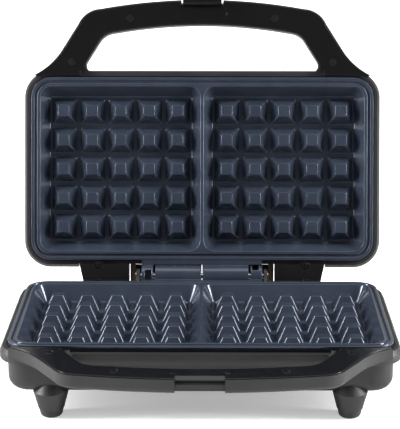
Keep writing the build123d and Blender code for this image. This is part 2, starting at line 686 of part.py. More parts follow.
def lid_ear(side):
    """One hinge cover of the lid, screwed on behind its rear wall."""
    y0 = WALL_BACK + SEAT_GAP
    y1 = HINGE_Y + EAR_REAR
    plan = Polyline([(EAR_X0, y0), (EAR_X1, y0), (EAR_X1 - EAR_TAPER, y1), (EAR_X0, y1)], close=True)
    body = prism(make_face(plan), BELT_Z, -EAR_DROP)
    rear = body.edges().filter_by(Axis.X).sort_by(Axis.Z)[:2].sort_by(Axis.Y)[-1]
    body = fillet(rear, EAR_EDGE_R)
    if side < 0:
        body = mirror(body, Plane.YZ)
    return ear_seat(side, body)


def stop_bracket(side):
    """One bracket behind the base: a sloping stop for the opened lid and a hinge guard."""
    angle = math.radians(OPEN_ANGLE)

    def stop_z(back):
        return (math.cos(angle) * back - EAR_REAR - STOP_GAP) / math.sin(angle)

    def guard_z(back):
        return (math.cos(angle) * back + HINGE_Y - WALL_BACK) / math.sin(angle) - GUARD_GAP

    corner = -EAR_REAR - STOP_STEP
    outline = [
        (WALL_BACK + SEAT_GAP, -EAR_SCREW_DROP),
        (HINGE_Y + corner, -EAR_SCREW_DROP),
        (HINGE_Y + corner, stop_z(corner)),
        (HINGE_Y + STOP_REACH, stop_z(STOP_REACH)),
        (HINGE_Y + STOP_REACH, stop_z(STOP_REACH) - STOP_LIP),
        (TUB_HALF_D + SEAT_GAP, -STOP_H),
        (TUB_HALF_D + SEAT_GAP, BELT_Z - SEAT_GAP),
        (WALL_BACK + SEAT_GAP, BELT_Z - SEAT_GAP),
    ]
    x0 = EAR_X0 + STOP_INSET
    x1 = EAR_X1 - EAR_TAPER - STOP_INSET
    body = profile_x(outline, x0, x1)
    back = STOP_REACH - GUARD_OVERLAP
    rear = back + GUARD_T
    y0 = HINGE_Y + back
    y1 = HINGE_Y + rear
    low = stop_z(STOP_REACH) - STOP_LIP
    guard = [(y0, low), (y0, guard_z(back)), (y1, guard_z(rear)), (y1, low)]
    body += profile_x(guard, GUARD_SPLIT / 2, EAR_X0 - GUARD_SIDE_GAP)
    body += block(GUARD_SPLIT / 2, x0 + GUARD_T, y0, y1, low, stop_z(rear))
    if side < 0:
        body = mirror(body, Plane.YZ)
    return ear_seat(side, body)


def hinge_screws():
    """The two screws that hold the hinge pieces of one half."""
    seat_z = -EAR_SCREW_DROP - EAR_SCREW_HEAD_H
    head_h = EAR_SCREW_HEAD_H - HEAD_RECESS_FIT
    one = screw(EAR_SCREW_HEAD_R, head_h, EAR_SCREW_R, EAR_SCREW_L + seat_z)
    y = HINGE_Y - EAR_SCREW_BACK
    return [Pos(side * EAR_SCREW_X, y, seat_z) * one for side in (-1, 1)]


def hinge_rod():
    """The steel rod through the knuckles, riveted over outside the cheeks."""
    end = CHEEK_X + CHEEK_T
    rod = along_x(-end - SEAT_GAP, end + SEAT_GAP, HINGE_Y, 0, ROD_R)
    for side in (-1, 1):
        x0 = side * (end + SEAT_GAP)
        x1 = side * (end + SEAT_GAP + ROD_HEAD_T)
        rod += along_x(min(x0, x1), max(x0, x1), HINGE_Y, 0, ROD_HEAD_R)
    return rod


def plate_screws():
    """The four screws that pull a plate down onto its housing's posts."""
    one = Rot(180, 0, 0) * screw(PLATE_SCREW_HEAD_R, PLATE_SCREW_HEAD_H, PLATE_SCREW_R, PLATE_SCREW_L)
    return [Pos(x, y, PLATE_SCREW_SEAT_Z) * one for x, y in corners(POST_X, POST_Y)]


def heat_shield():
    """The steel tray between the element and the moulding, resting on the posts."""
    tray = prism(rounded(SHIELD_W, SHIELD_D, SHIELD_R), SHIELD_Z, SHIELD_Z + SHIELD_RIM)
    wall = 2 * SHIELD_T
    inner = rounded(SHIELD_W - wall, SHIELD_D - wall, SHIELD_R - SHIELD_T)
    tray -= prism(inner, SHIELD_Z + SHIELD_T, SHIELD_Z + SHIELD_RIM + 1)
    tray = Pos(0, 0, -SHIELD_T / 2 + SEAT_GAP) * tray
    for x, y in corners(POST_X, POST_Y):
        tray -= post(x, y, NECK_R + SCREW_PASS, SHIELD_Z - 2, SHIELD_Z + 2)
    return tray


def heating_element():
    """The tubular element that loops under the pans, with its two cold pins."""
    z = PAN_Z - ELEMENT_SEAT - ELEMENT_R
    right = [
        (ELEMENT_LEG_X, ELEMENT_LEG_END, z),
        (ELEMENT_LEG_X, ELEMENT_REAR, z),
        (ELEMENT_HALF_X, ELEMENT_REAR, z),
        (ELEMENT_HALF_X, -ELEMENT_FRONT, z),
    ]
    left = [(-x, y, z) for x, y, z in reversed(right)]
    loop = tube(right + left, ELEMENT_BEND_R, ELEMENT_R)
    for side in (-1, 1):
        end = ELEMENT_LEG_END + ELEMENT_PIN_L
        loop += along_y(ELEMENT_LEG_END - 2, end, side * ELEMENT_LEG_X, z, ELEMENT_PIN_R)
    return loop


def element_clips():
    """Four sheet clips that hold the element up against the plate."""
    outer = ELEMENT_R + ELEMENT_SEAT + CLIP_T
    low = PAN_Z - 2 * ELEMENT_R - 2 * ELEMENT_SEAT - CLIP_T
    clips = []
    for x in (-CLIP_X, CLIP_X):
        for y in (-ELEMENT_FRONT, ELEMENT_REAR):
            hoop = block(x - CLIP_W / 2, x + CLIP_W / 2, y - outer, y + outer, low, PAN_Z)
            for y0, y1 in ((y - outer - CLIP_EAR, y - outer), (y + outer, y + outer + CLIP_EAR)):
                hoop += block(x - CLIP_W / 2, x + CLIP_W / 2, y0, y1, PAN_Z - CLIP_T, PAN_Z)
            inner = ELEMENT_R + ELEMENT_SEAT
            hoop -= block(x - CLIP_W, x + CLIP_W, y - inner, y + inner, low + CLIP_T, PAN_Z + 1)
            clips.append(hoop)
    return clips


def thermostat():
    """The disc thermostat against the middle of the plate."""
    body = post(0, 0, THERMOSTAT_R, PAN_Z - THERMOSTAT_H, PAN_Z)
    low = PAN_Z - THERMOSTAT_H - THERMOSTAT_CAP_H
    return body + post(0, 0, THERMOSTAT_CAP_R, low, PAN_Z - THERMOSTAT_H)


def thermal_fuse():
    """The thermal fuse lying against the plate."""
    z = PAN_Z - FUSE_R
    return along_x(FUSE_X - FUSE_L / 2, FUSE_X + FUSE_L / 2, 0, z, FUSE_R)


def element_leads():
    """The two leads from the sleeves to the element's pins."""
    pin_z = PAN_Z - ELEMENT_SEAT - ELEMENT_R
    pin_end = ELEMENT_LEG_END + ELEMENT_PIN_L
    leads = []
    for side in (-1, 1):
        points = [
            (side * SLEEVE_X, LEAD_WALL_Y, LEAD_JOIN_Z + SLEEVE_TAIL - SLEEVE_WALL_GAP),
            (side * SLEEVE_X, LEAD_WALL_Y, LEAD_JOIN_Z - 3),
            (side * SLEEVE_X * 0.6, LEAD_Y, LEAD_JOIN_Z - 1),
            (side * ELEMENT_LEG_X, LEAD_Y - 1, pin_z),
            (side * ELEMENT_LEG_X, pin_end + LEAD_END_GAP, pin_z),
        ]
        leads.append(tube(points, LEAD_R * 1.6, LEAD_R))
    return leads


def lead_sleeve(side):
    """The flexible sleeve that carries a lead round the hinge, at rest with the lid open."""
    x = side * SLEEVE_X
    inner_z = LEAD_JOIN_Z + SLEEVE_TAIL
    angle = math.radians(OPEN_ANGLE)

    def opened(y, z):
        back = y - HINGE_Y
        turned_y = back * math.cos(angle) + z * math.sin(angle)
        turned_z = -back * math.sin(angle) + z * math.cos(angle)
        return (x, HINGE_Y + turned_y, turned_z)

    mouth = opened(WALL_BACK, SLEEVE_Z)
    run = (mouth[2] + SLEEVE_Z) / math.sin(angle)
    corner = (x, mouth[1] + run * math.cos(angle), -SLEEVE_Z)
    points = [
        (x, LEAD_WALL_Y, inner_z),
        (x, LEAD_WALL_Y, -SLEEVE_Z),
        corner,
        opened(LEAD_WALL_Y, SLEEVE_Z),
        opened(LEAD_WALL_Y, -inner_z),
    ]
    bends = [SLEEVE_BEND_R * 0.35, SLEEVE_BEND_R, SLEEVE_BEND_R * 0.35]
    path = FilletPolyline(*points, radius=bends)
    ring = Plane(origin=path @ 0, z_dir=path % 0) * Circle(SLEEVE_R)
    return sweep(ring, path=path)


def cord_gland():
    """The bush in the rear wall where a mains lead would enter."""
    flange_y = TUB_HALF_D + SEAT_GAP
    gland = along_y(TUB_HALF_D - WALL - GLAND_INNER_L, flange_y, 0, -GLAND_Z, GLAND_R)
    gland += along_y(flange_y, flange_y + GLAND_FLANGE_T, 0, -GLAND_Z, GLAND_FLANGE_R)
    nose_y = flange_y + GLAND_FLANGE_T
    gland += along_y(nose_y, nose_y + GLAND_NOSE_L, 0, -GLAND_Z, GLAND_NOSE_R)
    bore = along_y(TUB_HALF_D - 20, nose_y + GLAND_NOSE_L + 1, 0, -GLAND_Z, GLAND_BORE_R)
    return gland - bore


def terminal_block():
    """The screw terminal block on the floor of the tub."""
    x0 = BLOCK_X - BLOCK_W / 2
    body = block(x0, x0 + BLOCK_W, BLOCK_Y - BLOCK_D / 2, BLOCK_Y + BLOCK_D / 2,
                 TUB_FLOOR_Z, TUB_FLOOR_Z + BLOCK_H)
    for i in range(3):
        x = x0 + BLOCK_W * (i + 0.5) / 3
        body -= post(x, BLOCK_Y, BLOCK_SCREW_R, TUB_FLOOR_Z + BLOCK_H / 2, TUB_FLOOR_Z + BLOCK_H + 1)
    return body


def mains_leads():
    """The two leads from the terminal block to the thermostat."""
    x0 = BLOCK_X + BLOCK_W / 2
    z0 = TUB_FLOOR_Z + BLOCK_H / 2
    z1 = PAN_Z - THERMOSTAT_H * 0.65
    leads = []
    for i, side in enumerate((-1, 1)):
        y = BLOCK_Y + LEAD_R * (2.6 * i - 0.4)
        x = side * ELEMENT_LEG_X * 0.5
        end_x = side * THERMOSTAT_R / 2
        end_y = math.sqrt(THERMOSTAT_R**2 - (abs(end_x) - LEAD_R) ** 2) + SEAT_GAP
        points = [
            (x0 + LEAD_END_GAP, y, z0),
            (x, y, z0),
            (x, BLOCK_Y - BLOCK_D / 2, z1),
            (end_x, end_y, z1),
        ]
        leads.append(tube(points, LEAD_R * 2, LEAD_R))
    return leads


def lamp_lens(side):
    """A round lens in the top of the lid."""
    rim = post(side * LAMP_X, LAMP_Y, LENS_RIM_R, LENS_Z - LENS_RIM_T, LENS_Z - LENS_SEAT)
    rim = fillet(rim.edges().group_by(Axis.Z)[0], LENS_RIM_T * 0.7)
    return rim + post(side * LAMP_X, LAMP_Y, LENS_R, LENS_Z - 2 * LENS_SEAT, LENS_Z + LENS_DEPTH)


def indicator_lamps():
    """The two small lamps behind the lenses."""
    z0 = LENS_Z + LENS_DEPTH + SEAT_GAP
    return [post(side * LAMP_X, LAMP_Y, LAMP_R, z0, z0 + LAMP_H) for side in (-1, 1)]


def latch_clip():
    """The clip that hooks under the base handle's lip, drawn as the lid lies closed."""
    lip_front = NOTCH_Y - LIP_REACH
    inner = lip_front - LATCH_CLEAR
    outer = LATCH_OUTER_Y
    toe_top = -LIP_TOP - LIP_T - LATCH_TOE_CLEAR
    toe_low = toe_top - LATCH_TOE_T
    toe_end = lip_front + LIP_REACH * 0.7
    top = LATCH_PIVOT_Z + LATCH_TAB
    outline = [
        (outer, toe_low),
        (toe_end - LATCH_LEAD_IN, toe_low),
        (toe_end, toe_low + LATCH_LEAD_IN),
        (toe_end, toe_top),
        (inner, toe_top),
        (inner, LATCH_BODY_FOOT),
        (outer + LATCH_BODY_T, LATCH_BODY_FOOT),
        (outer + LATCH_BODY_T, LATCH_PIVOT_Z),
        (outer + LATCH_T, top),
        (outer, top),
    ]
    clip = profile_x(outline, -LATCH_HALF, LATCH_HALF)
    front = clip.edges().filter_by(Axis.X).group_by(Axis.Y)[0]
    clip = fillet(front, LATCH_T * 0.4)
    clip += along_x(-LATCH_HALF, LATCH_HALF, PIVOT_Y, LATCH_PIVOT_Z, LATCH_HUB_R)
    clip -= along_x(-LATCH_HALF - 1, LATCH_HALF + 1, PIVOT_Y, LATCH_PIVOT_Z, PIN_R + PIN_FIT)
    return clip


def latch_pin():
    """The steel pin through the clip, held in the sides of the lid's notch."""
    end = NOTCH_HALF + PIN_HOLD
    return along_x(-end, end, PIVOT_Y, LATCH_PIVOT_Z, PIN_R)


def lid_direct(part):
    """A lid piece drawn as the lid lies closed, opened about the rod."""
    hinge = Pos(0, HINGE_Y, PARTING_Z) * Rot(-OPEN_ANGLE, 0, 0)
    return hinge * Pos(0, -HINGE_Y, 0) * part


def group(parts, place):
    """Several like solids kept apart in one node."""
    return Compound([place(part) for part in parts])


def build():
    """Every node by name, in place with the lid open."""
    pin_end = NOTCH_HALF + PIN_HOLD
    pin_hole = along_x(-pin_end, pin_end, PIVOT_Y, -LATCH_PIVOT_Z, PIN_R + PIN_PRESS)
    upper_housing = housing(base=False) - pin_hole
    nodes = {
        "lower_housing": to_base(housing(base=True)),
        "lower_handle_cover": to_base(handle_cover(NOTCH_Y)),
        "lower_handle_screws": group(handle_screws(), to_base),
        "lower_plate": to_base(baking_plate()),
        "lower_plate_screws": group(plate_screws(), to_base),
        "lower_heating_element": to_base(heating_element()),
        "lower_element_clips": group(element_clips(), to_base),
        "lower_heat_shield": to_base(heat_shield()),
        "lower_element_leads": group(element_leads(), to_base),
        "left_stop_bracket": to_base(stop_bracket(-1)),
        "right_stop_bracket": to_base(stop_bracket(1)),
        "lower_hinge_screws": group(hinge_screws(), to_base),
        "hinge_rod": to_base(hinge_rod()),
        "rubber_feet": group(rubber_feet(), to_base),
        "cord_gland": to_base(cord_gland()),
        "terminal_block": to_base(terminal_block()),
        "mains_leads": group(mains_leads(), to_base),
        "thermostat": to_base(thermostat()),
        "left_lead_sleeve": to_base(lead_sleeve(-1)),
        "right_lead_sleeve": to_base(lead_sleeve(1)),
        "upper_housing": to_lid(upper_housing),
        "upper_handle_cover": to_lid(handle_cover(UPPER_NOTCH_Y)),
        "upper_handle_screws": group(handle_screws(), to_lid),
        "upper_plate": to_lid(baking_plate()),
        "upper_plate_screws": group(plate_screws(), to_lid),
        "upper_heating_element": to_lid(heating_element()),
        "upper_element_clips": group(element_clips(), to_lid),
        "upper_heat_shield": to_lid(heat_shield()),
        "upper_element_leads": group(element_leads(), to_lid),
        "left_hinge_cover": to_lid(lid_ear(1)),
        "right_hinge_cover": to_lid(lid_ear(-1)),
        "upper_hinge_screws": group(hinge_screws(), to_lid),
        "thermal_fuse": to_lid(thermal_fuse()),
        "power_lens": to_lid(lamp_lens(-1)),
        "ready_lens": to_lid(lamp_lens(1)),
        "indicator_lamps": group(indicator_lamps(), to_lid),
        "latch_pin": lid_direct(latch_pin()),
        "latch_clip": lid_direct(latch_clip()),
    }
    return nodes


def main():
    nodes = build()
    boxes = [part.bounding_box() for part in nodes.values()]
    rear = max(box.max.Y for box in boxes)
    front = min(box.min.Y for box in boxes)
    low = min(box.min.Z for box in boxes)
    shift = Pos(0, -(rear + front) / 2, -low)
    print("plate middle y, parting z", round(shift.position.Y, 4), round(PARTING_Z + shift.position.Z, 4))
    os.makedirs("parts", exist_ok=True)
    for name, part in nodes.items():
        export_step(shift * part, f"parts/{name}.step")


main()
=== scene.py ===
"""Double waffle maker, standing open: rounded castings, mouldings, finishes and the stage."""

import json
import math

import bmesh
import bpy
from bpy.props import FloatProperty, FloatVectorProperty, IntProperty, PointerProperty
from mathutils import Matrix, Vector


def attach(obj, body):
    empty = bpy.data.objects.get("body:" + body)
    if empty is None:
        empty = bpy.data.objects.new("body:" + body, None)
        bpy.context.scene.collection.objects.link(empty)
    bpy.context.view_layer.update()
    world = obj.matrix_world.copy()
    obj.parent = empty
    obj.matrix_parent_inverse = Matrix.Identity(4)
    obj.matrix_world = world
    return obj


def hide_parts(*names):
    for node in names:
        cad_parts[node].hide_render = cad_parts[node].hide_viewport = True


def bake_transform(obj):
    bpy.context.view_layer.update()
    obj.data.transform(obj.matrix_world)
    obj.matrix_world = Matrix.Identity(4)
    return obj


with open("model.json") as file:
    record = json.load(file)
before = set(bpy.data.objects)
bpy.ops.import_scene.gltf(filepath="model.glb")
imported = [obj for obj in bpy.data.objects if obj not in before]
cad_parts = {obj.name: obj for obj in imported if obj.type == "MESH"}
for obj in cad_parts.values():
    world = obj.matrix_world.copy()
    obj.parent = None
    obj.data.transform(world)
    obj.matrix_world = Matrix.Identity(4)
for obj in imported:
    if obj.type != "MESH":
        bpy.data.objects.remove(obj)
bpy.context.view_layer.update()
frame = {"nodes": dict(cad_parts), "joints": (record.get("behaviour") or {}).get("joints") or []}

bl_info = {
    "name": "Double Waffle Maker",
    "version": (1, 0, 0),
    "blender": (4, 5, 0),
    "location": "3D View > Sidebar > Waffle Maker",
    "description": "Dresses the frame of a double waffle maker with castings, mouldings and finishes",
    "category": "Add Mesh",
}

NODES = frame["nodes"]
LID_HINGE = next(joint for joint in frame["joints"] if joint["name"] == "lid_hinge")
HINGE = Vector(LID_HINGE["pos_m"])
OPEN_ANGLE = math.radians(max(LID_HINGE["range_deg"]))

# The drawing frame of one half, in millimetres: the parting plane is z = 0 and the
# hinge axis lies at HINGE_BACK behind the middle of the baking plate.
HINGE_BACK = 82.5
MM = 0.001
TO_HINGE = Matrix.Scale(MM, 4) @ Matrix.Translation((0, -HINGE_BACK, 0))
BASE_PLACE = Matrix.Translation(HINGE) @ TO_HINGE
LID_TURN = Matrix.Rotation(-OPEN_ANGLE, 4, "X")
LID_PLACE = Matrix.Translation(HINGE) @ LID_TURN @ TO_HINGE @ Matrix.Rotation(math.pi, 4, "Y")
PLACES = {"base": BASE_PLACE, "lid": LID_PLACE}
WORDS = {"base": "lower", "lid": "upper"}

# Tolerances of the drawing frame, in millimetres.
WELD = 0.001            # points nearer to each other than this become one
LEVEL_SLACK = 0.01      # a point this near to a level counts as on it
HINGE_CUT = 0.02        # how far behind the flange the hinge end is cut from its frame node
FLOOR_SLACK = 0.1       # how far under the pan's floor edges are still rounded

# Bends between two faces, in degrees.
FLAT_BEND = 0.5         # up to this, two faces become one
CREASE_BEND = 28        # beyond this, an edge of a casting is rounded
CORNER_BEND = 35        # beyond this, an edge of a moulding or a knuckle is rounded
SHARP_BEND = 40         # beyond this, an edge is shaded sharp

MOULDING_STEPS = 3      # faces across a moulding's rounded edge
STUD_STEPS = 3          # faces across a stud's rounded corner
POST_SIDES = 24         # sides of a cast post
KNUCKLE_SHARE = 0.8     # rounding of a knuckle's edges as a share of the casting's
FLAT_WEIGHT = 100       # the most a face's area can count in its corners' shading


def linear(code):
    """An sRGB hex colour as linear red, green and blue."""
    levels = [int(code[i:i + 2], 16) / 255 for i in (1, 3, 5)]
    return tuple(v / 12.92 if v <= 0.04045 else ((v + 0.055) / 1.055) ** 2.4 for v in levels)


def colour(name, description, code):
    """A colour property whose default is the hex code."""
    return FloatVectorProperty(name=name, description=description, default=linear(code),
                               subtype="COLOR", size=3, min=0, max=1)


def length(name, description, default):
    """A length property in millimetres."""
    return FloatProperty(name=name, description=description, default=default, min=0)


class WaffleSizes(bpy.types.PropertyGroup):
    """Sizes of the castings and mouldings, in millimetres."""
    plate_w: length("Plate width", "Width of one baking plate", 263.6)
    plate_d: length("Plate depth", "Depth of one baking plate, front to rear", 140.8)
    plate_r: length("Plate corner", "Corner radius of the baking plate", 15.0)
    face: length("Face drop", "Drop of the plate's face from the parting plane", 0.25)
    skirt: length("Skirt", "Height of the plate's outer skirt", 4.8)
    lip: length("Lip", "Width of the lip outside the groove", 2.4)
    groove_w: length("Groove width", "Width of the steam groove", 2.2)
    groove_d: length("Groove depth", "Depth of the steam groove", 1.3)
    groove_draft: length("Groove draft", "How far each wall of the groove slants", 0.3)
    pan_w: length("Pan width", "Width of one pan at its mouth", 123.8)
    pan_d: length("Pan depth", "Front to rear size of one pan at its mouth", 127.0)
    pan_r: length("Pan corner", "Corner radius of the pan's mouth", 9.0)
    pan_h: length("Pan height", "How deep the pan is", 12.0)
    pan_draft: FloatProperty(name="Pan draft", description="Slope of the pan's walls",
                             default=math.radians(29.5), subtype="ANGLE")
    pan_wall: length("Pan wall", "Thickness of the casting round the pans", 3.0)
    septum: length("Septum", "Width of the ridge between the two pans", 2.2)
    pitch_x: length("Stud pitch across", "Distance between studs, left to right", 22.0)
    pitch_y: length("Stud pitch along", "Distance between studs, front to rear", 22.4)
    stud_top: length("Stud top", "Width of a stud at its top", 8.4)
    stud_base: length("Stud base", "Width of a stud at its foot", 18.8)
    stud_drop: length("Stud drop", "Drop of the stud tops from the parting plane", 2.0)
    studs: IntProperty(name="Studs", description="Rows and columns of studs in one pan",
                       default=5, min=1)
    margin: length("Seam margin", "Flat strip kept beside each rounded edge", 1.0)
    field_margin: length("Field margin", "Flat strip between the outer studs and the pan's wall",
                         0.9)
    post_x: length("Post across", "Place of the cast posts, left and right", 104.0)
    post_y: length("Post along", "Place of the cast posts, front and rear", 38.0)
    post_r: length("Post radius", "Radius of the cast posts", 4.5)
    post_h: length("Post height", "Height of the cast posts", 7.0)
    casting_edge: length("Casting edge", "Rounding of the cast edges under the coating", 0.4)
    stud_corner: length("Stud corner", "Rounding of the studs' four slanting corners", 1.4)
    moulding_edge: length("Moulding edge", "Rounding of the plastic mouldings' edges", 0.45)


class WaffleColours(bpy.types.PropertyGroup):
    """Colours of the finishes."""
    coating: colour("Non-stick coating", "Dark blue-grey coating of the baking plates", "#353c49")
    housing: colour("Housing", "Near-black moulded housings", "#161616")
    cover: colour("Handle covers", "Glossy black covers and latch", "#0a0a0b")
    hinge: colour("Hinge pieces", "Satin black hinge covers and brackets", "#070708")
    rubber: colour("Rubber", "Feet and cord bush", "#1d1d1e")
    floor: colour("Floor", "Pale studio floor", "#f2f2f2")


# The colour mixing node has several sockets of one name, so its sockets go by number.
MIX_BY, MIX_A, MIX_B, MIXED = 0, 6, 7, 2
# Nearly all values of a noise texture lie in this range.
NOISE_SPAN = {"From Min": 0.3, "From Max": 0.7}


def add_node(tree, kind, inputs=None, output=0, **settings):
    """Add a node with its settings; inputs gives sockets a value or the socket that feeds them."""
    node = tree.nodes.new(kind)
    for name, value in settings.items():
        setattr(node, name, value)
    for name, value in (inputs or {}).items():
        socket = node.inputs[name]
        if isinstance(value, bpy.types.NodeSocket):
            tree.links.new(value, socket)
        else:
            socket.default_value = value
    return node.outputs[output] if len(node.outputs) else node


def new_material(name):
    """An empty node material, its tree and the piece's own coordinates."""
    material = bpy.data.materials.new(name)
    material.use_nodes = True
    tree = material.node_tree
    tree.nodes.clear()
    return material, tree, add_node(tree, "ShaderNodeTexCoord", output="Object")


def per_mm(size):
    """The pattern scale whose features are about size millimetres across."""
    return 1 / (size * MM)


def shade(rgb, factor=1.0):
    """The colour made darker or lighter by factor, with its alpha."""
    return (*(min(1.0, level * factor) for level in rgb), 1.0)


def coated_casting(rgb):
    """Release coating sprayed on die-cast aluminium and baked: sleek dark blue-grey, with a
    faint orange peel, fine metal flake and slow clouds where the spray lay thicker."""
    material, tree, place = new_material("sprayed_coating_on_die_cast_aluminium")
    cloud = add_node(tree, "ShaderNodeTexNoise",
                     {"Vector": place, "Scale": per_mm(18.0), "Detail": 3.0})
    flake = add_node(tree, "ShaderNodeTexNoise",
                     {"Vector": place, "Scale": per_mm(0.5), "Detail": 1.0})
    mottle = add_node(tree, "ShaderNodeMath", {0: cloud, 1: flake}, operation="MULTIPLY")
    level = add_node(tree, "ShaderNodeMapRange",
                     {"Value": mottle, "From Min": 0.12, "From Max": 0.42})
    tint = add_node(tree, "ShaderNodeMix",
                    {MIX_BY: level, MIX_A: shade(rgb, 0.84), MIX_B: shade(rgb, 1.18)},
                    MIXED, data_type="RGBA")
    gloss = add_node(tree, "ShaderNodeMapRange",
                     {"Value": cloud, **NOISE_SPAN, "To Min": 0.15, "To Max": 0.21})
    peel = add_node(tree, "ShaderNodeTexNoise", {"Vector": place, "Scale": per_mm(0.9)})
    relief = add_node(tree, "ShaderNodeBump", {"Height": peel, "Distance": 0.012 * MM})
    surface = add_node(tree, "ShaderNodeBsdfPrincipled", {
        "Base Color": tint, "Metallic": 0.35, "Roughness": gloss, "IOR": 1.5, "Normal": relief})
    add_node(tree, "ShaderNodeOutputMaterial", {"Surface": surface})
    return material


def textured_moulding(rgb):
    """Glass-filled polyester moulded against a spark-eroded tool: near-black with a fine even
    grain, and slow changes of its low sheen where the melt cooled at different speeds."""
    material, tree, place = new_material("polyester_moulded_spark_texture")
    grain = add_node(tree, "ShaderNodeTexNoise",
                     {"Vector": place, "Scale": per_mm(0.45), "Detail": 3.0, "Roughness": 0.6})
    flow = add_node(tree, "ShaderNodeTexNoise", {"Vector": place, "Scale": per_mm(40.0)})
    level = add_node(tree, "ShaderNodeMapRange", {"Value": grain, **NOISE_SPAN})
    tint = add_node(tree, "ShaderNodeMix",
                    {MIX_BY: level, MIX_A: shade(rgb, 0.88), MIX_B: shade(rgb, 1.12)},
                    MIXED, data_type="RGBA")
    gloss = add_node(tree, "ShaderNodeMapRange",
                     {"Value": flow, **NOISE_SPAN, "To Min": 0.48, "To Max": 0.58})
    relief = add_node(tree, "ShaderNodeBump", {"Height": grain, "Distance": 0.02 * MM})
    surface = add_node(tree, "ShaderNodeBsdfPrincipled",
                       {"Base Color": tint, "Roughness": gloss, "IOR": 1.5, "Normal": relief})
    add_node(tree, "ShaderNodeOutputMaterial", {"Surface": surface})
    return material


def gloss_moulding(rgb):
    """ABS moulded against a polished tool: deep black gloss, with very slight sink waves and
    hairline polishing marks that change only the gloss."""
    material, tree, place = new_material("abs_moulded_high_gloss")
    wave = add_node(tree, "ShaderNodeTexNoise",
                    {"Vector": place, "Scale": per_mm(14.0), "Detail": 1.0})
    drawn = add_node(tree, "ShaderNodeMapping", {"Vector": place, "Scale": (0.08, 1.0, 1.0)})
    hairline = add_node(tree, "ShaderNodeTexNoise", {"Vector": drawn, "Scale": per_mm(0.35)})
    gloss = add_node(tree, "ShaderNodeMapRange",
                     {"Value": hairline, **NOISE_SPAN, "To Min": 0.16, "To Max": 0.24})
    relief = add_node(tree, "ShaderNodeBump", {"Height": wave, "Distance": 0.03 * MM})
    surface = add_node(tree, "ShaderNodeBsdfPrincipled", {
        "Base Color": shade(rgb), "Roughness": gloss, "IOR": 1.53, "Normal": relief})
    add_node(tree, "ShaderNodeOutputMaterial", {"Surface": surface})
    return material


def satin_moulding(rgb):
    """Glass-filled nylon, moulded: satin black, with pale fibre ends just under the skin."""
    material, tree, place = new_material("nylon_moulded_glass_filled")
    drawn = add_node(tree, "ShaderNodeMapping", {"Vector": place, "Scale": (0.25, 1.0, 1.0)})
    fibre = add_node(tree, "ShaderNodeTexNoise", {"Vector": drawn, "Scale": per_mm(0.4)})
    level = add_node(tree, "ShaderNodeMapRange",
                     {"Value": fibre, "From Min": 0.4, "From Max": 0.75})
    tint = add_node(tree, "ShaderNodeMix",
                    {MIX_BY: level, MIX_A: shade(rgb, 0.8), MIX_B: shade(rgb, 1.5)},
                    MIXED, data_type="RGBA")
    relief = add_node(tree, "ShaderNodeBump", {"Height": fibre, "Distance": 0.01 * MM})
    surface = add_node(tree, "ShaderNodeBsdfPrincipled",
                       {"Base Color": tint, "Roughness": 0.32, "IOR": 1.53, "Normal": relief})
    add_node(tree, "ShaderNodeOutputMaterial", {"Surface": surface})
    return material


def soft_rubber(rgb):
    """Silicone rubber, compression moulded: black and matt, with a pale bloom in patches."""
    material, tree, place = new_material("silicone_rubber_moulded")
    bloom = add_node(tree, "ShaderNodeTexNoise",
                     {"Vector": place, "Scale": per_mm(3.0), "Detail": 4.0})
    grain = add_node(tree, "ShaderNodeTexNoise", {"Vector": place, "Scale": per_mm(0.3)})
    level = add_node(tree, "ShaderNodeMapRange", {"Value": bloom, **NOISE_SPAN})
    tint = add_node(tree, "ShaderNodeMix",
                    {MIX_BY: level, MIX_A: shade(rgb, 0.8), MIX_B: shade(rgb, 1.3)},
                    MIXED, data_type="RGBA")
    relief = add_node(tree, "ShaderNodeBump", {"Height": grain, "Distance": 0.015 * MM})
    surface = add_node(tree, "ShaderNodeBsdfPrincipled", {
        "Base Color": tint, "Roughness": 0.62, "IOR": 1.41, "Sheen Weight": 0.15,
        "Normal": relief})
    add_node(tree, "ShaderNodeOutputMaterial", {"Surface": surface})
    return material


def worked_steel(name, rgb, gloss_range, mark_mm, stretch):
    """Plated or blackened steel: metallic, with drawing or driving marks of mark_mm that are
    longer along the axes whose stretch is small."""
    material, tree, place = new_material(name)
    drawn = add_node(tree, "ShaderNodeMapping", {"Vector": place, "Scale": stretch})
    marks = add_node(tree, "ShaderNodeTexNoise",
                     {"Vector": drawn, "Scale": per_mm(mark_mm), "Detail": 3.0})
    level = add_node(tree, "ShaderNodeMapRange", {"Value": marks, **NOISE_SPAN})
    tint = add_node(tree, "ShaderNodeMix",
                    {MIX_BY: level, MIX_A: shade(rgb, 0.75), MIX_B: shade(rgb, 1.15)},
                    MIXED, data_type="RGBA")
    gloss = add_node(tree, "ShaderNodeMapRange",
                     {"Value": level, "To Min": gloss_range[0], "To Max": gloss_range[1]})
    relief = add_node(tree, "ShaderNodeBump", {"Height": marks, "Distance": 0.004 * MM})
    surface = add_node(tree, "ShaderNodeBsdfPrincipled",
                       {"Base Color": tint, "Metallic": 1.0, "Roughness": gloss, "Normal": relief})
    add_node(tree, "ShaderNodeOutputMaterial", {"Surface": surface})
    return material


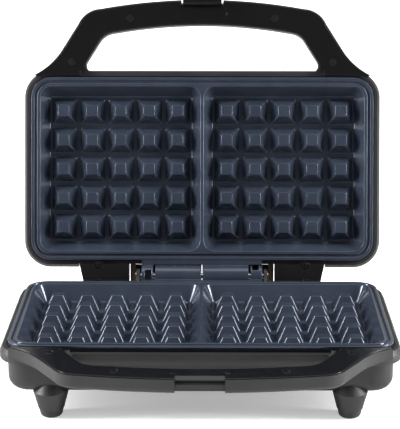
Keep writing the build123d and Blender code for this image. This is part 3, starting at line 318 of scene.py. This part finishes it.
def spangled_sheet():
    """Steel sheet, hot-dip aluminised: pale grey crystals a few millimetres across."""
    material, tree, place = new_material("steel_sheet_hot_dip_aluminised")
    crystal = add_node(tree, "ShaderNodeTexVoronoi",
                       {"Vector": place, "Scale": per_mm(4.0)}, "Color")
    level = add_node(tree, "ShaderNodeSeparateColor", {"Color": crystal})
    dull, bright = shade(linear("#a4a7aa")), shade(linear("#c9cbcc"))
    tint = add_node(tree, "ShaderNodeMix", {MIX_BY: level, MIX_A: dull, MIX_B: bright},
                    MIXED, data_type="RGBA")
    gloss = add_node(tree, "ShaderNodeMapRange", {"Value": level, "To Min": 0.32, "To Max": 0.45})
    surface = add_node(tree, "ShaderNodeBsdfPrincipled",
                       {"Base Color": tint, "Metallic": 1.0, "Roughness": gloss})
    add_node(tree, "ShaderNodeOutputMaterial", {"Surface": surface})
    return material


def oxidised_sheath():
    """Nickel alloy heating tube, swaged and annealed: grey-green with brown heat colours."""
    material, tree, place = new_material("nickel_alloy_sheath_annealed")
    heat = add_node(tree, "ShaderNodeTexNoise",
                    {"Vector": place, "Scale": per_mm(9.0), "Detail": 4.0})
    pits = add_node(tree, "ShaderNodeTexNoise", {"Vector": place, "Scale": per_mm(0.4)})
    level = add_node(tree, "ShaderNodeMapRange", {"Value": heat, **NOISE_SPAN})
    green, brown = shade(linear("#4f5148")), shade(linear("#6d5f4e"))
    tint = add_node(tree, "ShaderNodeMix", {MIX_BY: level, MIX_A: green, MIX_B: brown},
                    MIXED, data_type="RGBA")
    gloss = add_node(tree, "ShaderNodeMapRange", {"Value": level, "To Min": 0.42, "To Max": 0.6})
    relief = add_node(tree, "ShaderNodeBump", {"Height": pits, "Distance": 0.01 * MM})
    surface = add_node(tree, "ShaderNodeBsdfPrincipled",
                       {"Base Color": tint, "Metallic": 0.85, "Roughness": gloss, "Normal": relief})
    add_node(tree, "ShaderNodeOutputMaterial", {"Surface": surface})
    return material


def glazed_ceramic():
    """Steatite, pressed, fired and glazed: off-white with a soft gloss and pin specks."""
    material, tree, place = new_material("steatite_ceramic_glazed")
    speck = add_node(tree, "ShaderNodeTexNoise",
                     {"Vector": place, "Scale": per_mm(0.8), "Detail": 5.0, "Roughness": 0.7})
    level = add_node(tree, "ShaderNodeMapRange", {"Value": speck, "From Min": 0.3, "From Max": 0.4})
    pin, glaze = shade(linear("#b9ad94")), shade(linear("#e6e1d4"))
    tint = add_node(tree, "ShaderNodeMix", {MIX_BY: level, MIX_A: pin, MIX_B: glaze},
                    MIXED, data_type="RGBA")
    surface = add_node(tree, "ShaderNodeBsdfPrincipled", {
        "Base Color": tint, "Roughness": 0.22, "IOR": 1.54, "Coat Weight": 0.4,
        "Coat Roughness": 0.1})
    add_node(tree, "ShaderNodeOutputMaterial", {"Surface": surface})
    return material


def lead_insulation():
    """Silicone insulation, extruded: white and slightly chalky."""
    material, tree, place = new_material("silicone_insulation_extruded")
    chalk = add_node(tree, "ShaderNodeTexNoise",
                     {"Vector": place, "Scale": per_mm(1.2), "Detail": 3.0})
    level = add_node(tree, "ShaderNodeMapRange", {"Value": chalk, **NOISE_SPAN})
    grey, white = shade(linear("#c9c7c0")), shade(linear("#e4e2db"))
    tint = add_node(tree, "ShaderNodeMix", {MIX_BY: level, MIX_A: grey, MIX_B: white},
                    MIXED, data_type="RGBA")
    surface = add_node(tree, "ShaderNodeBsdfPrincipled",
                       {"Base Color": tint, "Roughness": 0.48, "IOR": 1.41})
    add_node(tree, "ShaderNodeOutputMaterial", {"Surface": surface})
    return material


# A wave texture of scale 1 repeats after this length.
WAVE_REPEAT = math.tau / 20
# A strand of the braid is about 0.4 mm wide, and drawn at this width so that it shows.
STRAND_MM = 0.6


def braided_sleeve():
    """Glass fibre, braided and varnished: tan, with two crossing sets of strands on the piece's
    own UV map in millimetres, and painted shade: the gaps between the strands are coloured dark
    brown."""
    material, tree, _ = new_material("glass_fibre_braided_varnished")
    around = add_node(tree, "ShaderNodeUVMap", uv_map="UVMap")
    strands = []
    for turn in (45, -45):
        turned = add_node(tree, "ShaderNodeMapping",
                          {"Vector": around, "Rotation": (0, 0, math.radians(turn))})
        strands.append(add_node(tree, "ShaderNodeTexWave",
                                {"Vector": turned, "Scale": WAVE_REPEAT / STRAND_MM}, "Fac"))
    weave = add_node(tree, "ShaderNodeMath", {0: strands[0], 1: strands[1]}, operation="MAXIMUM")
    # painted shade: the sunken gaps between the strands get a dark brown, the strands their own tan
    painted_gap_shade, strand = shade(linear("#4e3f30")), shade(linear("#8f7b5e"))
    tint = add_node(tree, "ShaderNodeMix", {MIX_BY: weave, MIX_A: painted_gap_shade, MIX_B: strand},
                    MIXED, data_type="RGBA")
    relief = add_node(tree, "ShaderNodeBump", {"Height": weave, "Distance": 0.12 * MM})
    surface = add_node(tree, "ShaderNodeBsdfPrincipled", {
        "Base Color": tint, "Roughness": 0.5, "Sheen Weight": 0.2, "Normal": relief})
    add_node(tree, "ShaderNodeOutputMaterial", {"Surface": surface})
    return material


def tinted_lens(name, rgb):
    """Polycarbonate, moulded clear and tinted: the colour is in the depth, the face is polished."""
    material, tree, place = new_material(name)
    wave = add_node(tree, "ShaderNodeTexNoise",
                    {"Vector": place, "Scale": per_mm(2.0), "Detail": 1.0})
    tint = add_node(tree, "ShaderNodeMix",
                    {MIX_BY: wave, MIX_A: shade(rgb, 0.8), MIX_B: shade(rgb, 1.15)},
                    MIXED, data_type="RGBA")
    relief = add_node(tree, "ShaderNodeBump", {"Height": wave, "Distance": 0.01 * MM})
    surface = add_node(tree, "ShaderNodeBsdfPrincipled", {
        "Base Color": tint, "Roughness": 0.08, "IOR": 1.585, "Transmission Weight": 0.55,
        "Normal": relief})
    add_node(tree, "ShaderNodeOutputMaterial", {"Surface": surface})
    return material


def lamp_glass():
    """Soda glass, blown: clear lamps with a grey smudge inside."""
    material, tree, place = new_material("soda_glass_blown")
    smudge = add_node(tree, "ShaderNodeTexNoise", {"Vector": place, "Scale": per_mm(2.5)})
    grey, clear = shade(linear("#8d8a86")), shade(linear("#f0efec"))
    tint = add_node(tree, "ShaderNodeMix", {MIX_BY: smudge, MIX_A: grey, MIX_B: clear},
                    MIXED, data_type="RGBA")
    surface = add_node(tree, "ShaderNodeBsdfPrincipled", {
        "Base Color": tint, "Roughness": 0.05, "IOR": 1.52, "Transmission Weight": 0.8})
    add_node(tree, "ShaderNodeOutputMaterial", {"Surface": surface})
    return material


def put_piece(bm, name, body, material, nodes, place=None):
    """Turn a bmesh into a finished piece in the row frame, riding on its body if it has one."""
    if place is not None:
        bmesh.ops.transform(bm, matrix=place, verts=bm.verts)
    bmesh.ops.recalc_face_normals(bm, faces=bm.faces)
    mesh = bpy.data.meshes.new(name)
    bm.to_mesh(mesh)
    bm.free()
    mesh.shade_smooth()
    mesh.set_sharp_from_angle(angle=math.radians(SHARP_BEND))
    mesh.materials.append(material)
    piece = bpy.data.objects.new(name, mesh)
    bpy.context.scene.collection.objects.link(piece)
    if body:
        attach(piece, body)
    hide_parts(*nodes)
    return piece


def merged_copy(node):
    """A bmesh of a CAD node with its loose triangles joined and its flat faces whole."""
    bm = bmesh.new()
    bm.from_mesh(NODES[node].data)
    bmesh.ops.remove_doubles(bm, verts=bm.verts, dist=WELD * MM)
    bmesh.ops.dissolve_limit(bm, angle_limit=math.radians(FLAT_BEND), verts=bm.verts,
                             edges=bm.edges)
    return bm


def shade_flats(piece):
    """Keep a piece's flat faces flat to the light, so that only its rounded edges turn it."""
    weighting = piece.modifiers.new("Flat faces shaded flat", "WEIGHTED_NORMAL")
    weighting.weight = FLAT_WEIGHT
    weighting.keep_sharp = True


def rounded_copy(node, name, body, material, edge_mm):
    """A moulding that stands for a CAD node, with its sharp edges rounded."""
    piece = put_piece(merged_copy(node), name, body, material, [node])
    rounding = piece.modifiers.new("Rounded edges", "BEVEL")
    rounding.width = edge_mm * MM
    rounding.segments = MOULDING_STEPS
    rounding.limit_method = "ANGLE"
    rounding.angle_limit = math.radians(CORNER_BEND)
    shade_flats(piece)


def dress(node, material):
    """Give a CAD node's own mesh a finish."""
    slots = NODES[node].data.materials
    slots.clear()
    slots.append(material)


def rounded_face(bm, width, depth, radius, z, x=0.0, steps=6):
    """A flat face at height z: a rectangle about x with rounded corners."""
    corners = bmesh.ops.create_grid(bm, x_segments=1, y_segments=1, size=0.5)["verts"]
    bmesh.ops.scale(bm, vec=(width, depth, 1), verts=corners)
    bmesh.ops.translate(bm, vec=(x, 0, z), verts=corners)
    made = bmesh.ops.bevel(bm, geom=corners, offset=radius, segments=steps, profile=0.5,
                           affect="VERTICES", clamp_overlap=False, material=-1)
    return made["verts"][0].link_faces[0]


def step_in(bm, face, steps):
    """Draw a face inward and up or down by each step, with a band left at each, and open it."""
    for inward, rise in steps:
        bmesh.ops.inset_region(bm, faces=[face], thickness=inward, depth=rise,
                               use_even_offset=True, use_boundary=True)
    bmesh.ops.delete(bm, geom=[face], context="FACES_ONLY")


def close_flat(bm, z):
    """Fill the flat gaps between the open edges at height z."""
    edges = [edge for edge in bm.edges
             if edge.is_boundary and all(abs(v.co.z - z) < LEVEL_SLACK for v in edge.verts)]
    bmesh.ops.triangle_fill(bm, edges=edges, use_beauty=True)


def sharp_edges(bm, degrees, keep):
    """The edges bent by more than this angle, with both ends kept by the test."""
    return [edge for edge in bm.edges if len(edge.link_faces) == 2
            and edge.calc_face_angle() > math.radians(degrees) and all(map(keep, edge.verts))]


def round_edges(bm, edges, radius, steps=2):
    """Round some edges to a radius, with this many faces across."""
    bmesh.ops.bevel(bm, geom=edges, offset=radius, segments=steps, profile=0.5,
                    affect="EDGES", clamp_overlap=False, material=-1)


def stud_field(bm, s, x, floor):
    """The studs of one pan, drawn up out of a flat grid about x."""
    width, depth = s.studs * s.pitch_x, s.studs * s.pitch_y
    verts = bmesh.ops.create_grid(bm, x_segments=s.studs, y_segments=s.studs, size=0.5)["verts"]
    bmesh.ops.scale(bm, vec=(width, depth, 1), verts=verts)
    bmesh.ops.translate(bm, vec=(x, 0, floor), verts=verts)
    cells = list(dict.fromkeys(face for vert in verts for face in vert.link_faces))
    rim = [vert for vert in verts if vert.is_boundary]
    bmesh.ops.inset_individual(bm, faces=cells, thickness=(s.pitch_x - s.stud_base) / 2,
                               use_even_offset=True)
    drawn_in = (1 - 2 * s.field_margin / width, 1 - 2 * s.field_margin / depth, 1)
    bmesh.ops.scale(bm, vec=drawn_in, space=Matrix.Translation((-x, 0, 0)), verts=rim)
    tops = bmesh.ops.extrude_discrete_faces(bm, faces=cells)["faces"]
    taper = s.stud_top / s.stud_base
    for top in tops:
        middle = Matrix.Translation(-top.calc_center_median())
        bmesh.ops.scale(bm, vec=(taper, taper, 1), space=middle, verts=top.verts)
        bmesh.ops.translate(bm, vec=(0, 0, -s.stud_drop - floor), verts=top.verts)
    rims = {edge for top in tops for edge in top.edges}
    slants = [edge for top in tops for vert in top.verts for edge in vert.link_edges
              if edge not in rims]
    round_edges(bm, slants, s.stud_corner, STUD_STEPS)


def casting(s):
    """A baking plate in the half frame: grooved flange, two pans of studs and the belly below."""
    bm = bmesh.new()
    top, skirt = -s.face, -s.face - s.skirt
    floor = top - s.pan_h
    under = floor - s.pan_wall
    slope = math.tan(s.pan_draft)
    flange = rounded_face(bm, s.plate_w, s.plate_d, s.plate_r, skirt)
    step_in(bm, flange, [(0, s.skirt), (s.lip, 0), (s.groove_draft, -s.groove_d),
                         (s.groove_w - 2 * s.groove_draft, 0), (s.groove_draft, s.groove_d),
                         (s.margin, 0)])
    for x in (-(s.septum + s.pan_w) / 2, (s.septum + s.pan_w) / 2):
        pan = rounded_face(bm, s.pan_w + 2 * s.margin, s.pan_d + 2 * s.margin,
                           s.pan_r + s.margin, top, x)
        step_in(bm, pan, [(s.margin, 0), (s.pan_h * slope, -s.pan_h), (s.field_margin / 2, 0)])
        stud_field(bm, s, x, floor)
    whole = 2 * s.pan_w + s.septum + 2 * s.pan_wall
    deep = s.pan_d + 2 * s.pan_wall
    belly = rounded_face(bm, whole, deep, s.pan_r + s.pan_wall, skirt)
    step_in(bm, belly, [((skirt - under) * slope, under - skirt)])
    for level in (top, floor, skirt, under):
        close_flat(bm, level)
    bmesh.ops.remove_doubles(bm, verts=bm.verts, dist=WELD)
    creases = sharp_edges(bm, CREASE_BEND, lambda vert: vert.co.z > floor - FLOOR_SLACK
                          and abs(vert.co.z - skirt) > LEVEL_SLACK)
    round_edges(bm, creases, s.casting_edge)
    return bm


def hinge_end(node, place, s):
    """The web, knuckle and lug cut from a plate's frame node, with rounded edges, as a mesh."""
    bm = merged_copy(node)
    bmesh.ops.transform(bm, matrix=place.inverted(), verts=bm.verts)
    cut_y = s.plate_d / 2 + HINGE_CUT
    geometry = bm.verts[:] + bm.edges[:] + bm.faces[:]
    bmesh.ops.bisect_plane(bm, geom=geometry, plane_co=(0, cut_y, 0), plane_no=(0, 1, 0),
                           clear_inner=True)
    bmesh.ops.holes_fill(bm, edges=[edge for edge in bm.edges if edge.is_boundary])
    corners = sharp_edges(bm, CORNER_BEND, lambda vert: vert.co.y > cut_y + LEVEL_SLACK)
    round_edges(bm, corners, s.casting_edge * KNUCKLE_SHARE)
    mesh = bpy.data.meshes.new("hinge_end")
    bm.to_mesh(mesh)
    bm.free()
    return mesh


def cast_posts(bm, s):
    """The four posts under a plate that its screws pull down."""
    high = -s.face - s.pan_h - s.pan_wall
    for x in (-s.post_x, s.post_x):
        for y in (-s.post_y, s.post_y):
            post = bmesh.ops.create_cone(bm, cap_ends=True, segments=POST_SIDES, radius1=s.post_r,
                                         radius2=s.post_r, depth=s.post_h)["verts"]
            bmesh.ops.translate(bm, vec=(x, y, high - s.post_h / 2), verts=post)


class FrameOperator:
    """What every operator of this add-on shares."""
    bl_options = {"REGISTER", "UNDO"}


class WAFFLE_OT_plates(FrameOperator, bpy.types.Operator):
    """Model the two coated castings with their pans, studs and hinge knuckles"""
    bl_idname = "waffle.plates"
    bl_label = "Baking Plates"

    def execute(self, context):
        sizes = context.scene.waffle_sizes
        material = coated_casting(context.scene.waffle_colours.coating)
        for body, word in WORDS.items():
            node = word + "_plate"
            bm = casting(sizes)
            cast_posts(bm, sizes)
            bm.from_mesh(hinge_end(node, PLACES[body], sizes))
            piece = put_piece(bm, node + "_casting", body, material, [node],
                              PLACES[body])
            shade_flats(piece)
        return {"FINISHED"}


class WAFFLE_OT_housings(FrameOperator, bpy.types.Operator):
    """Round and finish the two outer mouldings with their open handles"""
    bl_idname = "waffle.housings"
    bl_label = "Housings"

    def execute(self, context):
        material = textured_moulding(context.scene.waffle_colours.housing)
        edge = context.scene.waffle_sizes.moulding_edge
        for body, word in WORDS.items():
            node = word + "_housing"
            rounded_copy(node, node + "_shell", body, material, edge)
        return {"FINISHED"}


class WAFFLE_OT_covers(FrameOperator, bpy.types.Operator):
    """Round and finish the glossy handle covers and the latch"""
    bl_idname = "waffle.covers"
    bl_label = "Handle Covers and Latch"

    def execute(self, context):
        material = gloss_moulding(context.scene.waffle_colours.cover)
        edge = context.scene.waffle_sizes.moulding_edge
        for body, word in WORDS.items():
            node = word + "_handle_cover"
            rounded_copy(node, node + "_trim", body, material, edge)
        rounded_copy("latch_clip", "latch_hook", "latch", material, edge)
        return {"FINISHED"}


class WAFFLE_OT_hinge_pieces(FrameOperator, bpy.types.Operator):
    """Round and finish the lid's hinge covers and the base's stop brackets"""
    bl_idname = "waffle.hinge_pieces"
    bl_label = "Hinge Covers and Brackets"

    def execute(self, context):
        material = satin_moulding(context.scene.waffle_colours.hinge)
        edge = context.scene.waffle_sizes.moulding_edge
        for side in ("left", "right"):
            rounded_copy(side + "_hinge_cover", side + "_hinge_cap", "lid",
                         material, edge)
            rounded_copy(side + "_stop_bracket", side + "_stop_block", "base",
                         material, edge)
        return {"FINISHED"}


class WAFFLE_OT_rubber(FrameOperator, bpy.types.Operator):
    """Finish the rubber feet and the cord bush"""
    bl_idname = "waffle.rubber"
    bl_label = "Rubber Feet and Cord Bush"

    def execute(self, context):
        material = soft_rubber(context.scene.waffle_colours.rubber)
        for node in ("rubber_feet", "cord_gland"):
            dress(node, material)
        return {"FINISHED"}


class WAFFLE_OT_steel(FrameOperator, bpy.types.Operator):
    """Finish the screws, the hinge rod, the latch pin and the sheet parts"""
    bl_idname = "waffle.steel"
    bl_label = "Screws, Rod and Sheet Parts"

    def execute(self, context):
        black = worked_steel("steel_screw_black_oxide", linear("#46464a"),
                             gloss_range=(0.30, 0.42), mark_mm=0.5, stretch=(1, 1, 1))
        zinc = worked_steel("steel_cold_headed_zinc_plated", linear("#b9bcbf"),
                            gloss_range=(0.22, 0.34), mark_mm=0.5, stretch=(1, 1, 1))
        drawn = worked_steel("steel_rod_cold_drawn", linear("#a9abad"),
                             gloss_range=(0.18, 0.30), mark_mm=0.3, stretch=(0.05, 1, 1))
        finishes = {
            black: ("lower_handle_screws", "upper_handle_screws", "lower_hinge_screws",
                    "upper_hinge_screws"),
            zinc: ("lower_plate_screws", "upper_plate_screws", "lower_element_clips",
                   "upper_element_clips", "thermostat", "thermal_fuse"),
            drawn: ("hinge_rod", "latch_pin"),
            spangled_sheet(): ("lower_heat_shield", "upper_heat_shield"),
        }
        for material, nodes in finishes.items():
            for node in nodes:
                dress(node, material)
        return {"FINISHED"}


class WAFFLE_OT_heating(FrameOperator, bpy.types.Operator):
    """Finish the heating tubes, the leads and the terminal block"""
    bl_idname = "waffle.heating"
    bl_label = "Heating and Wiring"

    def execute(self, context):
        sheath, insulation = oxidised_sheath(), lead_insulation()
        for word in WORDS.values():
            dress(word + "_heating_element", sheath)
            dress(word + "_element_leads", insulation)
        dress("mains_leads", insulation)
        dress("terminal_block", glazed_ceramic())
        return {"FINISHED"}


class WAFFLE_OT_lamps(FrameOperator, bpy.types.Operator):
    """Finish the two indicator lenses and the lamps behind them"""
    bl_idname = "waffle.lamps"
    bl_label = "Indicator Lamps"

    def execute(self, context):
        dress("power_lens", tinted_lens("polycarbonate_tinted_red", linear("#b3160f")))
        dress("ready_lens", tinted_lens("polycarbonate_tinted_green", linear("#1f8f2e")))
        dress("indicator_lamps", lamp_glass())
        return {"FINISHED"}


# Route of a lead sleeve at rest, back from the plate's middle and up from the parting plane:
# up inside the base's rear wall, out through it, round the hinge and into the opened lid.
SLEEVE_ROUTE = [(66.1, -19.6), (66.1, -12.0), (68.5, -9.0), (82.0, -9.0), (89.4, -9.0),
                (91.7, -0.5), (94.5, 10.2), (95.6, 13.4), (98.5, 12.7), (105.7, 10.8)]
SLEEVE_X = 53.4
SLEEVE_R = 1.9
SLEEVE_ORDER = 3        # order of the route's smooth curve
SLEEVE_POINTS = 8       # points along each stretch of the route
SLEEVE_SIDES = 6        # how finely the sleeve's round section is drawn


def sleeve_tube(x):
    """A bmesh tube along the sleeve's route, with its UV map in millimetres."""
    curve = bpy.data.curves.new("sleeve_route", "CURVE")
    curve.dimensions = "3D"
    curve.resolution_u = SLEEVE_POINTS
    curve.bevel_depth = SLEEVE_R
    curve.bevel_resolution = SLEEVE_SIDES
    curve.use_fill_caps = True
    spline = curve.splines.new("NURBS")
    spline.points.add(len(SLEEVE_ROUTE) - 1)
    for point, (y, z) in zip(spline.points, SLEEVE_ROUTE):
        point.co = (x, y, z, 1)
    spline.order_u = SLEEVE_ORDER
    spline.use_endpoint_u = True
    holder = bpy.data.objects.new("sleeve_route", curve)
    mesh = bpy.data.meshes.new_from_object(holder)
    run = sum(math.dist(a, b) for a, b in zip(SLEEVE_ROUTE, SLEEVE_ROUTE[1:]))
    bm = bmesh.new()
    bm.from_mesh(mesh)
    layer = bm.loops.layers.uv.verify()
    for face in bm.faces:
        for loop in face.loops:
            along, around = loop[layer].uv
            loop[layer].uv = (along * run, around * math.tau * SLEEVE_R)
    bpy.data.objects.remove(holder)
    return bm


class WAFFLE_OT_sleeves(FrameOperator, bpy.types.Operator):
    """Model the two braided sleeves that carry the lid's leads round the hinge"""
    bl_idname = "waffle.sleeves"
    bl_label = "Lead Sleeves"

    def execute(self, context):
        material = braided_sleeve()
        for side, x in (("left", -SLEEVE_X), ("right", SLEEVE_X)):
            piece = put_piece(sleeve_tube(x), side + "_braided_sleeve", None,
                              material, [side + "_lead_sleeve"], BASE_PLACE)
            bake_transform(piece)
        return {"FINISHED"}


# The camera stands where the photograph was taken, in metres, degrees and millimetres.
CAMERA_PLACE = (0.0070, -1.0353, 0.4101)
CAMERA_TURN = (74.456, 0.0, 0.436)
CAMERA_LENS = 135.55

# The studio. Its floor glows with GLOW_NEAR under the object and with GLOW_FAR from
# FLOOR_FADE metres on. Its room is dark on the side that lies towards DARK_SIDE: the room's
# strength falls as the cosine of the angle to that side rises through DARK_SPAN.
FLOOR_REACH = 5.0       # half the floor's width, in metres
FLOOR_FADE = 1.2
GLOW_NEAR = 0.35
GLOW_FAR = 1.0
DARK_SIDE = (0.0, -0.966, 0.259)
DARK_SPAN = {"From Min": 0.2, "From Max": 0.95}
ROOM_LIGHT = 0.6
ROOM_DARK = 0.13
WHITE = (1, 1, 1, 1)
OBJECT_MIDDLE = (0.0, 0.0, 0.12)
# Name, place, width and height in metres, and power in watts.
LIGHTS = [
    ("overhead_softbox", (0.0, 0.05, 1.5), (1.4, 0.9), 7.0),
    ("left_strip", (-1.0, -0.15, 0.55), (0.18, 0.9), 24.0),
    ("right_strip", (1.0, -0.15, 0.55), (0.18, 0.9), 24.0),
]


def area_light(name, place, target, size, power):
    """A rectangular studio light at place, facing target."""
    lamp = bpy.data.lights.new(name, "AREA")
    lamp.shape = "RECTANGLE"
    lamp.size, lamp.size_y = size
    lamp.energy = power
    light = bpy.data.objects.new(name, lamp)
    light.location = place
    light.rotation_euler = (Vector(target) - Vector(place)).to_track_quat("-Z", "Y").to_euler()
    bpy.context.scene.collection.objects.link(light)


def straight_view(tree):
    """A socket that is 1 on the camera's own rays and on those that pass through clear pieces."""
    path = add_node(tree, "ShaderNodeLightPath", output="Is Camera Ray").node
    return add_node(tree, "ShaderNodeMath", {0: path.outputs["Is Camera Ray"],
                                             1: path.outputs["Is Transmission Ray"]},
                    operation="MAXIMUM")


def studio_floor(rgb):
    """Matt paper floor: it takes the object's shadow, and its own pale glow, which lights
    nothing and shows in no reflection, grows with distance until the floor is plain white."""
    material, tree, place = new_material("matt_paper_floor")
    shrunk = add_node(tree, "ShaderNodeMapping",
                      {"Vector": place, "Scale": (1 / FLOOR_FADE,) * 3})
    spot = add_node(tree, "ShaderNodeTexGradient", {"Vector": shrunk}, "Fac",
                    gradient_type="SPHERICAL")
    glow = add_node(tree, "ShaderNodeMapRange",
                    {"Value": spot, "To Min": GLOW_FAR, "To Max": GLOW_NEAR})
    strength = add_node(tree, "ShaderNodeMath", {0: glow, 1: straight_view(tree)},
                        operation="MULTIPLY")
    light = add_node(tree, "ShaderNodeEmission", {"Strength": strength})
    paper = add_node(tree, "ShaderNodeBsdfDiffuse", {"Color": shade(rgb)})
    both = add_node(tree, "ShaderNodeAddShader", {0: light, 1: paper})
    add_node(tree, "ShaderNodeOutputMaterial", {"Surface": both})
    return material


def studio_world():
    """White to the camera; to everything else a pale room that is dark on one side."""
    world = bpy.data.worlds.new("studio")
    world.use_nodes = True
    tree = world.node_tree
    tree.nodes.clear()
    ray = add_node(tree, "ShaderNodeTexCoord", output="Generated")
    facing = add_node(tree, "ShaderNodeVectorMath", {0: ray, 1: DARK_SIDE}, "Value",
                      operation="DOT_PRODUCT")
    strength = add_node(tree, "ShaderNodeMapRange",
                        {"Value": facing, **DARK_SPAN, "To Min": ROOM_LIGHT, "To Max": ROOM_DARK},
                        interpolation_type="SMOOTHSTEP")
    room = add_node(tree, "ShaderNodeBackground", {"Color": WHITE, "Strength": strength})
    white = add_node(tree, "ShaderNodeBackground", {"Color": WHITE, "Strength": 1.0})
    mixed = add_node(tree, "ShaderNodeMixShader", {0: straight_view(tree), 1: room, 2: white})
    add_node(tree, "ShaderNodeOutputWorld", {"Surface": mixed})
    bpy.context.scene.world = world


class WAFFLE_OT_stage(FrameOperator, bpy.types.Operator):
    """Set up the pale floor, the studio lights and the camera"""
    bl_idname = "waffle.stage"
    bl_label = "Studio Stage"

    def execute(self, context):
        bm = bmesh.new()
        bmesh.ops.create_grid(bm, x_segments=1, y_segments=1, size=FLOOR_REACH)
        mesh = bpy.data.meshes.new("floor")
        bm.to_mesh(mesh)
        bm.free()
        mesh.materials.append(studio_floor(context.scene.waffle_colours.floor))
        floor = bpy.data.objects.new("floor", mesh)
        context.scene.collection.objects.link(floor)
        studio_world()
        for name, place, size, power in LIGHTS:
            area_light(name, place, OBJECT_MIDDLE, size, power)
        data = bpy.data.cameras.new("camera")
        data.sensor_fit = "HORIZONTAL"
        data.lens = CAMERA_LENS
        camera = bpy.data.objects.new("camera", data)
        camera.location = CAMERA_PLACE
        camera.rotation_euler = [math.radians(turn) for turn in CAMERA_TURN]
        context.scene.collection.objects.link(camera)
        context.scene.camera = camera
        context.scene.view_settings.view_transform = "Standard"
        return {"FINISHED"}


OPERATORS = (
    WAFFLE_OT_plates,
    WAFFLE_OT_housings,
    WAFFLE_OT_covers,
    WAFFLE_OT_hinge_pieces,
    WAFFLE_OT_sleeves,
    WAFFLE_OT_rubber,
    WAFFLE_OT_steel,
    WAFFLE_OT_heating,
    WAFFLE_OT_lamps,
    WAFFLE_OT_stage,
)


class WAFFLE_PT_panel(bpy.types.Panel):
    """Lists the pieces of the waffle maker, with their sizes and colours"""
    bl_idname = "WAFFLE_PT_panel"
    bl_label = "Waffle Maker"
    bl_space_type = "VIEW_3D"
    bl_region_type = "UI"
    bl_category = "Waffle Maker"

    def draw(self, context):
        layout = self.layout
        for operator in OPERATORS:
            layout.operator(operator.bl_idname)
        for group in (context.scene.waffle_sizes, context.scene.waffle_colours):
            box = layout.box()
            for name in group.__annotations__:
                box.prop(group, name)


CLASSES = (WaffleSizes, WaffleColours, *OPERATORS, WAFFLE_PT_panel)


def register():
    for cls in CLASSES:
        bpy.utils.register_class(cls)
    bpy.types.Scene.waffle_sizes = PointerProperty(type=WaffleSizes)
    bpy.types.Scene.waffle_colours = PointerProperty(type=WaffleColours)


def unregister():
    del bpy.types.Scene.waffle_colours
    del bpy.types.Scene.waffle_sizes
    for cls in reversed(CLASSES):
        bpy.utils.unregister_class(cls)


def main():
    register()
    for operator in OPERATORS:
        group, name = operator.bl_idname.split(".")
        getattr(getattr(bpy.ops, group), name)()


if __name__ == "__main__":
    main()
